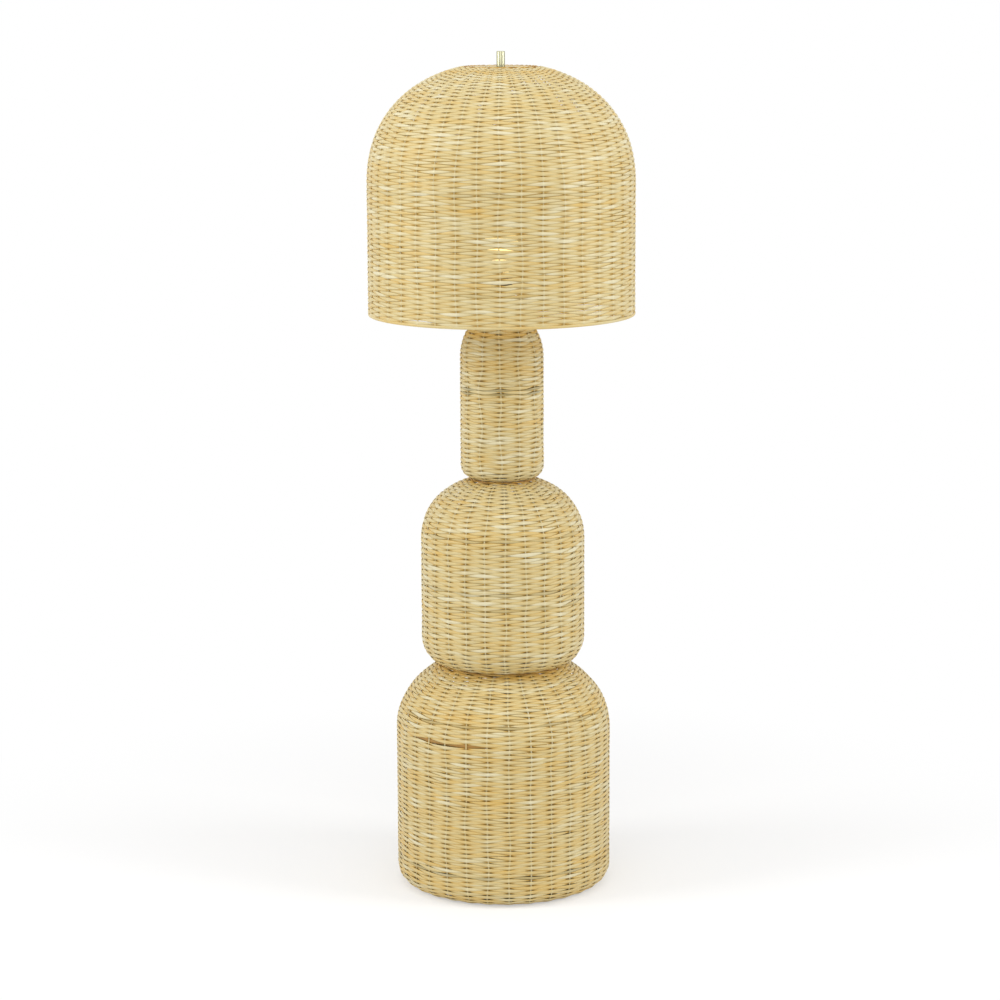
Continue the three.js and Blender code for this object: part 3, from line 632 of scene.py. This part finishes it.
# Natural rattan is pale cream to honey by each strand's tone and fibres, and brown-green where
# it is stained. Painted shade makes it brown deep in the weave and golden along the valleys
# between rows. It is satin, with fine fibres standing along it.
pale = (0.725, 0.66, 0.435, 1)
straw = (0.63, 0.51, 0.24, 1)
honey = (0.66, 0.415, 0.085, 1)
brown = (0.36, 0.19, 0.035, 1)
stained = (0.13, 0.108, 0.03, 1)
natural_rattan, tree, shader = new_material("natural_rattan")
strand_map = add_node(tree, "ShaderNodeUVMap", uv_map="strand")
grain = add_effect(tree, fibres, {"Map": strand_map})
edges = add_effect(tree, strand_edges, {"Map": strand_map})
tone = add_node(tree, "ShaderNodeAttribute", attribute_name="tone").outputs["Fac"]
stain = add_node(tree, "ShaderNodeAttribute", attribute_name="stain").outputs["Fac"]
edge_shaded_tone = add_node(
    tree, "ShaderNodeMath", {0: edges, 1: edge_shade_tone, 2: tone}, operation="MULTIPLY_ADD",
)
level = add_node(
    tree, "ShaderNodeMath", {0: grain, 1: fibre_tone, 2: edge_shaded_tone}, operation="MULTIPLY_ADD",
)
shade = add_node(tree, "ShaderNodeMapRange", {"Value": level, "From Min": 0.6, "From Max": 2.1})
ramp = add_node(tree, "ShaderNodeValToRGB", {0: shade})
stops = ramp.color_ramp.elements
stops[0].color = pale
stops[1].color = brown
stops.new(0.40).color = straw
stops.new(0.78).color = honey
mix = add_node(tree, "ShaderNodeMix", {"Factor": stain, "A": ramp, "B": stained}, data_type="RGBA")
tree.links.new(mix.outputs["Result"], shader.inputs["Base Color"])
vary_surface(tree, grain, (0.40, 0.58), fibre_depth, 0.5)
shader.inputs["Coat Weight"].default_value = 0.05
shader.inputs["Coat Roughness"].default_value = 0.25


def ring_path(radius, turn, height):
    """Path round the lamp's axis, from the front to the right: radius times sin(turn), minus
    radius times cos(turn), height."""
    return np.stack([radius * np.sin(turn), -radius * np.cos(turn), height + 0 * turn], -1)


def border_roll(name, radius, height, angle, count, core, half, laps, tone, rng, body):
    """Rolled border: each stake's end winds nearly once round a core circle, from inside over
    the top and down outside, while it passes some laps of the gaps between stakes."""
    share = np.linspace(0, 1, border_steps)[None, :]
    gap = 2 * math.pi / count
    start = angle + gap * (np.arange(count)[:, None] + rng.normal(0, border_shift, (count, 1)))
    turn = start + share * laps * gap
    wind = 2 * math.pi * (border_wind * share - 0.05) + rng.normal(0, border_lean, (count, 1))
    centre = ring_path(radius + core * np.sin(wind), turn, height + core * np.cos(wind))
    taper = half * np.clip(border_tip + 9 * np.minimum(share, 1 - share), 0, 1)
    return strand_piece(
        name, (natural_rattan, body, "rattan"), centre, upward, taper, taper, strand_sides,
        border_steps - 1, rng.normal(tone, border_tone_spread, (count, 1)),
    )


# A slit moves two rows apart by twice its open, or together where that is below 0. A mark stains
# a stretch of one row, or sinks it behind the stakes that it should pass before, by a depth from
# 0 to 1. A sunk row is also made browner, as painted shade. Angles and sweeps are in degrees.
Slit = namedtuple("Slit", "height angle sweep open")
Mark = namedtuple("Mark", "height angle sweep depth")

base_wall = section_wall("base_woven_shell", 0.119, 0.113, 2.0, 0.028, 0.033, 0.020)
base_rng = np.random.default_rng(31)
base_stakes = weave(
    "base", base_wall, base_rng, "stand", 3,
    stakes=31, stake_angle=2.9, stake_wander=0.006, row_wander=0.0008,
    weaver_tone=0.08, stake_tone=0.15, recess=0.80, foot_end=(0.5, 0.018),
    mouth_end=(0.5, 0.018), pitch=0.0044, first=0.010, top_gap=0.0028, stake_first=0.004,
    slits=[Slit(0.132, 35, 5, 0.0016), Slit(0.297, -34, 20, 0.0009)],
    sinks=[Mark(0.297, -34, 40, 1.0)],
    stains=[Mark(0.380, 5, 50, 0.2), Mark(0.331, -6, 100, 0.35), Mark(0.058, -10, 110, 0.35)],
)
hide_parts("base_woven_shell")
border_roll(
    "base_foot_border", base_wall.foot_radius + 0.001, base_wall.foot_height + 0.0045, 0.05, 31,
    0.0024, 0.0020, 3.1, 0.9, base_rng, "stand",
)
# Its brown tone of 1.2 is painted shade in the joint under the middle section.
border_roll(
    "base_mouth_border", 0.1135, base_wall.top_height - 0.0003, 0.02, 31,
    0.0012, 0.0012, 3.1, 1.2, base_rng, "stand",
)


# A hoop of round cane inside the base's foot keeps the weave round. The mains lead would come
# in at the rear through a rubber grommet, whose membrane is still closed.
hoop_lap = 0.02
hoop_tip = 0.15
hoop_sides = 12
hoop_steps = 240


def rod_hoop(name, radius, height, half_out, half_up, rng, body):
    """Rod bent from the rear round one turn and a lap. Over the lap both ends taper, and one
    goes a little further in and the other a little further out, so that they lie side by side."""
    lap = hoop_lap / radius
    turn = np.linspace(math.pi, 3 * math.pi + lap, hoop_steps + 1)[None, :]
    past = np.clip((np.minimum(turn - turn[0, 0], turn[0, -1] - turn)) / lap, hoop_tip, 1)
    wide = radius + half_out * 0.5 * np.sign(turn - turn.mean()) * (1 - past)
    tone = 0.45 + 0.12 * np.sin(5 * turn) + rng.normal(0, 0.05)
    return strand_piece(
        name, (natural_rattan, body, "cane"), ring_path(wide, turn, height), upward,
        half_up * past**0.5, half_out * past, hoop_sides, hoop_steps, tone,
    )


def hoop_in(node, name, rng, body):
    """Round hoop in the place of a CAD node."""
    low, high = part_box(node)
    wire = (high.z - low.z) / 2
    return rod_hoop(name, high.x - wire, (low.z + high.z) / 2, wire, wire, rng, body)


foot_hoop = hoop_in("base_foot_hoop", "foot_hoop", base_rng, "stand")
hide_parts("base_foot_hoop")

black_rubber = finish(
    "black_rubber", mottle, cloudy(700, 3), (0.012, 0.012, 0.012),
    (0.026, 0.025, 0.024), (0.6, 0.8), 0.00012,
)
coat(black_rubber, "cord_grommet")

# The middle section is woven as the base is, over 25 stakes.
mid_wall = section_wall("mid_woven_shell", 0.111, 0.056, 2.2, 0.036, 0.050, 0.013)
mid_rng = np.random.default_rng(25)
mid_stakes = weave(
    "mid", mid_wall, mid_rng, "stand", 2,
    stakes=25, stake_angle=1.8, stake_wander=0.007, row_wander=0.0008,
    weaver_tone=0.03, stake_tone=0.15, recess=0.80, foot_end=(0.2, 0.018),
    mouth_end=(0.5, 0.018), pitch=0.0048, first=0.008, top_gap=0.0028, stake_first=0.003,
    stains=[Mark(0.659, 0, 110, 0.2), Mark(0.563, 0, 120, 0.25), Mark(0.538, 20, 80, 0.25)],
)
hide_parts("mid_woven_shell")
border_roll(
    "mid_foot_border", mid_wall.foot_radius - 0.001, mid_wall.foot_height + 0.0034, 0.03, 25,
    0.0023, 0.0020, 3.1, 0.4, mid_rng, "stand",
)
# Its brown tone of 1.2 is painted shade in the joint under the neck.
border_roll(
    "mid_mouth_border", 0.0568, mid_wall.top_height - 0.0003, 0.02, 25,
    0.0012, 0.0012, 3.1, 1.2, mid_rng, "stand",
)

# The neck is woven as the base is, over 13 stakes, and closes in on the tube under its cap.
neck_wall = section_wall("neck_woven_shell", 0.0815, 0.024, 2.0, 0.020, 0.026, 0.012)
neck_rng = np.random.default_rng(13)
# Its browner mouth end, over the top 14 cm, is painted warm light that the bulb throws on it.
neck_stakes = weave(
    "neck", neck_wall, neck_rng, "stand", 1,
    stakes=13, stake_angle=-3.0, stake_wander=0.03, row_wander=0.0006,
    weaver_tone=0, stake_tone=0.25, recess=0.85, foot_end=(0.2, 0.018),
    mouth_end=(0.4, 0.14), pitch=0.0043, first=0.008, top_gap=0.0028, stake_first=0.003,
    slits=[Slit(0.9205, 0, 130, -0.0008), Slit(0.9119, 0, 150, -0.0008)],
    stains=[Mark(0.9205, 0, 130, 0.5), Mark(0.9119, 0, 150, 0.5)],
)
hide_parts("neck_woven_shell")
border_roll(
    "neck_foot_border", neck_wall.foot_radius - 0.001, neck_wall.foot_height + 0.0034, 0.1, 13,
    0.0022, 0.0019, 2.6, 0.4, neck_rng, "stand",
)

# A spun steel cap closes the neck. Above it a brass lock nut and a turned riser collar sit on
# the threaded nipple and carry the lamp holder.
turned_sides = 64
sharp_angle = math.radians(40)
ease_steps = 4
longest_ease = 0.45
nipple_bore = 0.0051


def turned_outline(points, ease):
    """Closed outline with its corners eased: each corner is a quadratic curve that starts and
    ends at most the given distance from it. Corners on the axis stay sharp."""
    points = np.array(points, float)
    before, after = np.roll(points, 1, 0), np.roll(points, -1, 0)
    rows = []
    for corner, last, following in zip(points, before, after):
        if corner[0] < 1e-9:
            rows.append(corner[None])
            continue
        start, stop = (
            corner + (end - corner) * min(ease / np.linalg.norm(end - corner), longest_ease)
            for end in (last, following)
        )
        t = np.linspace(0, 1, ease_steps)[:, None]
        rows.append((1 - t) ** 2 * start + 2 * t * (1 - t) * corner + t**2 * stop)
    return np.concatenate(rows)


def turned_piece(name, points, ease, look, foot, form=None, tilt=None, aside=(0, 0)):
    """Outline in [radius, height] rows, its corners eased, turned once about the Z axis, then
    tilted and moved. A point is radius times cos(angle), radius times sin(angle), height, and
    form changes its radius by its angle, radius and height."""
    outline = turned_outline(points, ease) if ease else np.array(points, float)
    turn = np.arange(turned_sides) * 2 * math.pi / turned_sides
    radius = np.broadcast_to(outline[:, 0], (turned_sides, len(outline)))
    height = np.broadcast_to(outline[:, 1], radius.shape)
    angle = np.broadcast_to(turn[:, None], radius.shape)
    if form:
        radius = form(angle, radius, height)
    points = np.stack([radius * np.cos(angle), radius * np.sin(angle), height], -1).reshape(-1, 3)
    grid = np.arange(len(points)).reshape(radius.shape)
    on, up = np.roll(grid, -1, 0), np.roll(grid, -1, 1)
    quads = np.stack([grid, on, np.roll(on, -1, 1), up], -1).reshape(-1, 4)
    mesh = bpy.data.meshes.new(name)
    mesh.from_pydata(points.tolist(), [], quads.tolist())
    work = bmesh.new()
    work.from_mesh(mesh)
    bmesh.ops.remove_doubles(work, verts=work.verts, dist=1e-7)
    bmesh.ops.recalc_face_normals(work, faces=work.faces)
    work.to_mesh(mesh)
    work.free()
    mesh.shade_smooth()
    mesh.set_sharp_from_angle(angle=sharp_angle)
    if tilt:
        mesh.transform(tilt)
    mesh.transform(Matrix.Translation((*aside, foot)))
    return shown_piece(name, mesh, *look)


def ring_outline(inner, outer, tall):
    """Outline of a plain ring, anticlockwise."""
    return [[inner, 0], [outer, 0], [outer, tall], [inner, tall]]


def turned_size(node):
    """Outer radius, foot height and own height of a CAD node turned about the lamp's axis."""
    low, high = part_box(node)
    return high.x, low.z, high.z - low.z


# Turning leaves fine marks: noise on the distance from the Z axis and the height, the same all
# the way round.
turning_marks, given, value = effect_group("turning_marks", Scale="Float")
place = add_node(turning_marks, "ShaderNodeTexCoord").outputs["Object"]
split = add_node(turning_marks, "ShaderNodeSeparateXYZ", {0: place})
flat = add_node(
    turning_marks, "ShaderNodeVectorMath", {0: place, 1: (1, 1, 0)}, operation="MULTIPLY",
)
reach = add_node(turning_marks, "ShaderNodeVectorMath", {0: flat}, operation="LENGTH")
both = add_node(turning_marks, "ShaderNodeCombineXYZ", {
    "X": reach.outputs["Value"], "Y": split.outputs["Z"],
})
noise = add_node(turning_marks, "ShaderNodeTexNoise", {
    "Vector": both, "Scale": given["Scale"], "Detail": 3,
})
turning_marks.links.new(noise.outputs[0], value)
brushed_brass = finish(
    "brushed_brass", turning_marks, {"Scale": 2500}, (0.62, 0.45, 0.20), (0.80, 0.63, 0.33),
    (0.22, 0.38), 0.00003, 1.0,
)
brass_on_stand = (brushed_brass, "stand", "brass")
spun_steel = finish(
    "spun_steel", turning_marks, {"Scale": 1800}, (0.5, 0.5, 0.51), (0.66, 0.66, 0.67),
    (0.25, 0.42), 0.00003, 1.0,
)
outer, foot, tall = turned_size("neck_cap")
cap = turned_piece(
    "neck_cap_spun", ring_outline(nipple_bore, outer, tall), 0.0011,
    (spun_steel, "stand", "zinc_steel"), foot,
)
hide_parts("neck_cap")

nut_flat = 0.0069


def hexagon(angle, radius, height):
    """Radius held inside a hexagon: flat / cos of the angle from the nearest flat's middle."""
    apart = (angle + math.pi / 6) % (math.pi / 3) - math.pi / 6
    limit = np.where(radius > nipple_bore * 1.1, nut_flat / np.cos(apart), radius)
    return np.minimum(radius, limit)


outer, foot, tall = turned_size("cap_lock_nut")
nut = turned_piece(
    "lock_nut", [
        [nipple_bore, 0], [0.0068, 0], [0.0079, 0.0006], [0.0079, tall - 0.0006],
        [0.0068, tall], [nipple_bore, tall],
    ], 0.0002, brass_on_stand, foot, hexagon,
)
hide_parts("cap_lock_nut")

outer, foot, tall = turned_size("riser_collar")
knurl_count = 32
knurl_depth = 0.00012


def knurled(angle, radius, height):
    """Radius of the outer face raised and lowered in fine upright ribs."""
    ribs = knurl_depth * np.cos(knurl_count * angle)
    return np.where(radius > outer * 0.97, radius + ribs - knurl_depth, radius)


collar = turned_piece(
    "riser_collar_turned", [
        [nipple_bore, 0], [0.0078, 0], [outer, 0.0009], [outer, tall - 0.0009],
        [0.0078, tall], [nipple_bore, tall],
    ], 0.0003, brass_on_stand, foot, knurled,
)
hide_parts("riser_collar")

# The harp is one brass wire bent over the bulb, with a block and a threaded stud on its top. It
# stands on two posts of a bent saddle, and a loose sleeve over each foot locks it there.
harp_foot = 0.032
harp_half_span = 0.058
harp_leg = 0.042
harp_shares = ((1, 0.22), (1, 0.5), (0.55, 0.86))
harp_wire_radius = 0.002
block_radius = 0.006
block_height = 0.009
stud_radius = 0.003
coat(brushed_brass, "harp_saddle")


def smooth_through(points, steps):
    """Points of a centripetal spline: between two points it is a cubic whose slopes at both
    ends come from the neighbours, each span timed by the square root of its length."""
    points = np.array(points, float)
    points = np.vstack([2 * points[0] - points[1], points, 2 * points[-1] - points[-2]])
    time = np.r_[0, np.cumsum(np.linalg.norm(np.diff(points, axis=0), axis=1) ** 0.5)]
    gaps = np.diff(time)[:, None]
    rise = np.diff(points, axis=0) / gaps
    slope = (rise[:-1] * gaps[1:] + rise[1:] * gaps[:-1]) / (gaps[:-1] + gaps[1:])
    rows = []
    t = np.linspace(0, 1, steps, endpoint=False)[:, None]
    for i in range(len(points) - 3):
        a, b, gap = points[i + 1], points[i + 2], gaps[i + 1]
        rows.append(
            (2 * t**3 - 3 * t**2 + 1) * a + (t**3 - 2 * t**2 + t) * gap * slope[i]
            + (3 * t**2 - 2 * t**3) * b + (t**3 - t**2) * gap * slope[i + 1]
        )
    return np.concatenate([*rows, points[-2:-1]])


low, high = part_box("harp")
crown_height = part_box("shade_spider")[0].z - block_height / 2
leg_height = low.z + harp_leg
right_side = [[harp_foot, low.z], [harp_foot, low.z + harp_leg / 2], [harp_foot, leg_height]]
right_side += [
    [harp_half_span * wide, leg_height + (crown_height - leg_height) * tall]
    for wide, tall in harp_shares
]
line = [*right_side, [0, crown_height], *[[-x, z] for x, z in right_side[::-1]]]
bend = smooth_through([[x, 0, z] for x, z in line], 16)[None]
drawn_brass = finish(
    "drawn_brass", mottle, cloudy(60, 4, (30, 30, 1)), (0.64, 0.47, 0.21),
    (0.80, 0.63, 0.33), (0.2, 0.34), 0.00002, 1.0,
)
harp = strand_piece(
    "harp_wire", (drawn_brass, "stand", "brass"), bend, np.array([0.0, 1.0, 0.0]),
    harp_wire_radius, harp_wire_radius, wire_sides, bend.shape[1] - 1, 0.5,
)
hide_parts("harp")

block_foot = crown_height - block_height / 2
turned_piece(
    "harp_block", ring_outline(0, block_radius, block_height), 0.0009, brass_on_stand,
    block_foot,
)
thread_pitch = 0.00095
thread_depth = 0.00014
stud_top = high.z - block_foot - block_height
stud_rows = np.linspace(0, stud_top - 0.0008, 140)


def threaded(angle, radius, height):
    """Radius with a rounded screw thread that climbs one pitch a turn."""
    groove = thread_depth * (np.cos(2 * math.pi * height / thread_pitch - angle) - 1)
    return np.where(radius > stud_radius * 0.97, radius + groove, radius)


turned_piece(
    "harp_stud", [
        [0, -0.001], *[[stud_radius, z] for z in stud_rows], [stud_radius * 0.75, stud_top],
        [0, stud_top],
    ], 0, brass_on_stand, block_foot + block_height, threaded,
)

for side in ("left", "right"):
    node = f"harp_sleeve_{side}"
    low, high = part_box(node)
    outer = (high.x - low.x) / 2
    tall = high.z - low.z
    sleeve = turned_piece(
        f"harp_lock_{side}", [
            [0.0026, 0], [outer, 0], [outer, 0.0022], [outer - 0.0005, 0.003],
            [outer - 0.0005, tall], [0.0026, tall],
        ], 0.0004, (brushed_brass, f"{side}_sleeve", "brass"), low.z,
        aside=((low.x + high.x) / 2, 0),
    )
    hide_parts(node)

# The lamp holder is moulded black phenolic: a cup screwed on the nipple, a shell with a bead
# above and below, the block inside it, and the knob of its rotary switch at the front.
black_phenolic = finish(
    "black_phenolic", mottle, cloudy(160, 5), (0.016, 0.014, 0.013),
    (0.034, 0.029, 0.026), (0.24, 0.4), 0.00005,
)
coat(black_phenolic, "socket_interior")
outer, foot, tall = turned_size("socket_cap")
wall = 0.0012
lap = 0.0077
cup = turned_piece(
    "holder_cup", [
        [nipple_bore, 0], [0.011, 0], [0.0172, 0.0032], [outer, lap], [outer, tall],
        [outer - wall, tall], [outer - wall, lap], [0.011, wall + 0.0003],
        [nipple_bore, wall + 0.0003],
    ], 0.0012, (black_phenolic, "stand", "phenolic"), foot,
)
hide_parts("socket_cap")

outer, foot, tall = turned_size("socket_shell")
bead = outer + 0.0006
shell = turned_piece(
    "holder_shell", [
        [outer - wall, 0], [outer, 0], [outer, 0.0085], [bead, 0.0093], [bead, 0.0105],
        [outer, 0.0113], [outer, tall - 0.004], [bead, tall - 0.0032], [bead, tall - 0.0004],
        [outer, tall], [outer - wall, tall],
    ], 0.0005, (black_phenolic, "stand", "phenolic"), foot,
)
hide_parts("socket_shell")

low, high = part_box("switch_knob")
knob_height = (low.z + high.z) / 2
knob_length = 0.013
knob_radius = 0.0065
shaft_radius = 0.002
shaft_end = high.y - low.y
flute_count = 16
flute_depth = 0.0005


def fluted(angle, radius, height):
    """Radius of the knob's side cut by rounded flutes for the fingers."""
    cut = flute_depth * (1 - np.abs(np.cos(flute_count / 2 * angle)) ** 0.6)
    grip = (radius > knob_radius * 0.8) & (height > 0.0015)
    return np.where(grip, radius - cut, radius)


lay_back = Matrix.Rotation(-math.pi / 2, 4, "X")
knob = turned_piece(
    "switch_knob_fluted", [
        [0, 0], [knob_radius * 0.7, 0.0001], [knob_radius * 0.92, 0.0012],
        [knob_radius, knob_length - 0.001], [knob_radius * 0.9, knob_length],
        [shaft_radius, knob_length], [shaft_radius, shaft_end], [0, shaft_end],
    ], 0.0006, (black_phenolic, "switch", "phenolic"), knob_height, fluted, lay_back, (0, low.y),
)
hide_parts("switch_knob")
turned_piece(
    "switch_ferrule", ring_outline(shaft_radius + 0.0004, 0.0042, 0.0022), 0.0005,
    brass_on_stand, knob_height, None, lay_back, (0, -outer - 0.0017),
)

# The lit bulb has an opal glass with a pale yellow glow, and a screw cap of thin aluminium.
cap_radius, foot, cap_height = turned_size("bulb_cap")
screw_pitch = 0.0042
screw_depth = 0.0004
cap_rows = np.linspace(0.004, cap_height - 0.003, 80)
bulb_aluminium = finish(
    "bulb_aluminium", turning_marks, {"Scale": 1500}, (0.58, 0.58, 0.58), (0.76, 0.76, 0.75),
    (0.25, 0.4), 0.00002, 1.0,
)


def screwed(angle, radius, height):
    """Radius with a broad rounded thread that climbs one pitch a turn, faded at both ends."""
    fade = np.clip(np.minimum(height - 0.0035, cap_height - 0.002 - height) / 0.002, 0, 1)
    wave = screw_depth * (np.cos(2 * math.pi * height / screw_pitch - angle) - 1) * fade
    return np.where(radius > cap_radius * 0.9, radius + wave, radius)


bulb_cap = turned_piece(
    "bulb_screw_cap", [
        [0, 0], [0.0045, 0.0002], [0.0052, 0.0012], [cap_radius * 0.86, 0.003],
        *[[cap_radius, z] for z in cap_rows], [cap_radius * 0.96, cap_height - 0.0015],
        [cap_radius * 0.96, cap_height], [0, cap_height],
    ], 0, (bulb_aluminium, "bulb", "bulb_metal"), foot, screwed,
)
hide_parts("bulb_cap")

glass_radius, foot, tall = turned_size("bulb_glass")
ball_height = tall - glass_radius
flank = smooth_through([
    [0.0133, 0], [0.0138, 0.004], [0.0152, 0.013], [0.0198, 0.0285], [0.0262, 0.042],
    [glass_radius, ball_height],
], 8)
turn = np.linspace(0, math.pi / 2, 24)[1:]
ball = np.c_[glass_radius * np.cos(turn), ball_height + glass_radius * np.sin(turn)]
ball[-1, 0] = 0
opal_glass = finish(
    "opal_glass", mottle, cloudy(40, 2), (0.54, 0.47, 0.31), (0.58, 0.51, 0.35),
    (0.12, 0.2), 0.00001,
)
glow = opal_glass.node_tree.nodes["Principled BSDF"]
glow.inputs["Emission Color"].default_value = (1.0, 0.80, 0.32, 1)
glow.inputs["Emission Strength"].default_value = 1.7
bulb = turned_piece(
    "bulb_opal", np.vstack([[0, 0], flank, ball]), 0,
    (opal_glass, "bulb", "bulb_diffuser"), foot,
)
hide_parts("bulb_glass")

# The shade is a dome of the same weave over 39 stakes, open below, with a round mouth on top.
# Its lower edge is a flat oval rod outside and a round hoop inside the stakes' ends.
shade_wall = section_wall("shade_woven_shell", 0.2065, 0.068, 2.2)
shade_rng = np.random.default_rng(39)
shade_stakes = weave(
    "shade", shade_wall, shade_rng, "shade", 4,
    stakes=39, stake_angle=-1.0, stake_wander=0.005, row_wander=0.0009,
    weaver_tone=0, stake_tone=0.40, recess=0.65, foot_end=(0, 1), mouth_end=(0, 1),
    pitch=0.0046, first=0.0050, top_gap=0.0042, stake_first=0.001,
    slits=[
        Slit(1.2068, -3, 5, 0.0004), Slit(1.1884, -0.5, 4, 0.0020), Slit(1.1700, -0.5, 4, 0.0018),
        Slit(1.1470, 2, 3, 0.0012), Slit(1.1378, 2, 3, 0.0011), Slit(1.1286, 2, 3, 0.0014),
    ],
    stains=[Mark(1.2777, -25, 90, 0.14), Mark(1.107, 2, 30, 0.2)],
)
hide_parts("shade_woven_shell")
rod_hoop(
    "shade_rim_rod", shade_wall.foot_radius - 0.0018, shade_wall.foot_height + 0.0027,
    0.0015, 0.0026, shade_rng, "shade",
)
rim_hoop = hoop_in("shade_rim_hoop", "rim_hoop", shade_rng, "shade")
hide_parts("shade_rim_hoop")
# Its golden-brown tone of 1.1 is painted shade and painted warm bulb light inside the mouth.
border_roll(
    "shade_mouth_border", 0.0635, shade_wall.top_height - 0.0022, 0.02, 39,
    0.0010, 0.0012, 3.1, 1.1, shade_rng, "shade",
)

# The spider is painted wire: a ring bound inside the shade's mouth and three arms down to a
# hub that sits on the harp's block.
spider_ring_radius = 0.0572
spider_ring_wire = 0.0025
spider_arm_wire = 0.002
hub_radius = 0.013
hub_height = 0.0025
arm_steps = 25
low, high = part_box("shade_spider")
ring_height = high.z - spider_ring_wire
painted_wire = finish(
    "painted_wire", mottle, cloudy(220, 3), (0.62, 0.52, 0.30), (0.72, 0.62, 0.40),
    (0.32, 0.45), 0.00004,
)
wire_on_shade = (painted_wire, "shade", "painted_wire")
turn = np.linspace(0, 2 * math.pi, 33)[:-1]
section = spider_ring_wire * np.c_[np.cos(turn), np.sin(turn)]
ring = turned_piece(
    "spider_ring", [spider_ring_radius, 0] + section, 0, wire_on_shade, ring_height,
)
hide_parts("shade_spider")
turned_piece(
    "spider_hub", ring_outline(0.0036, hub_radius, hub_height), 0.0007, wire_on_shade, low.z,
)
arm_turn = math.pi / 2 + np.arange(3)[:, None] * 2 * math.pi / 3
arm_reach = np.linspace(hub_radius - spider_arm_wire, spider_ring_radius, arm_steps)
arm_rise = np.linspace(low.z + spider_arm_wire, ring_height, arm_steps)
arms = np.stack([
    np.cos(arm_turn) * arm_reach, np.sin(arm_turn) * arm_reach, arm_rise + 0 * arm_turn,
], -1)
arm_side = np.stack([-np.sin(arm_turn), np.cos(arm_turn), 0 * arm_turn], -1)
strand_piece(
    "spider_arms", wire_on_shade, arms, arm_side, spider_arm_wire, spider_arm_wire, wire_sides,
    arm_steps - 1, 0.5,
)

# The finial is a plain turned rod in polished champagne brass, screwed on the harp's stud.
outer, foot, tall = turned_size("finial")
well = 0.0036
well_height = 0.0161
polished_brass = finish(
    "polished_brass", turning_marks, {"Scale": 3000}, (0.39, 0.38, 0.24), (0.46, 0.45, 0.31),
    (0.24, 0.30), 0.00001, 1.0,
)
finial = turned_piece(
    "finial_turned", [
        [well, 0], [outer - 0.0008, 0], [outer, 0.0008], [outer, tall - 0.0008],
        [outer - 0.0008, tall], [0, tall], [0, well_height], [well, well_height],
    ], 0.0005, (polished_brass, "finial", "champagne_brass"), foot,
)
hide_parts("finial")
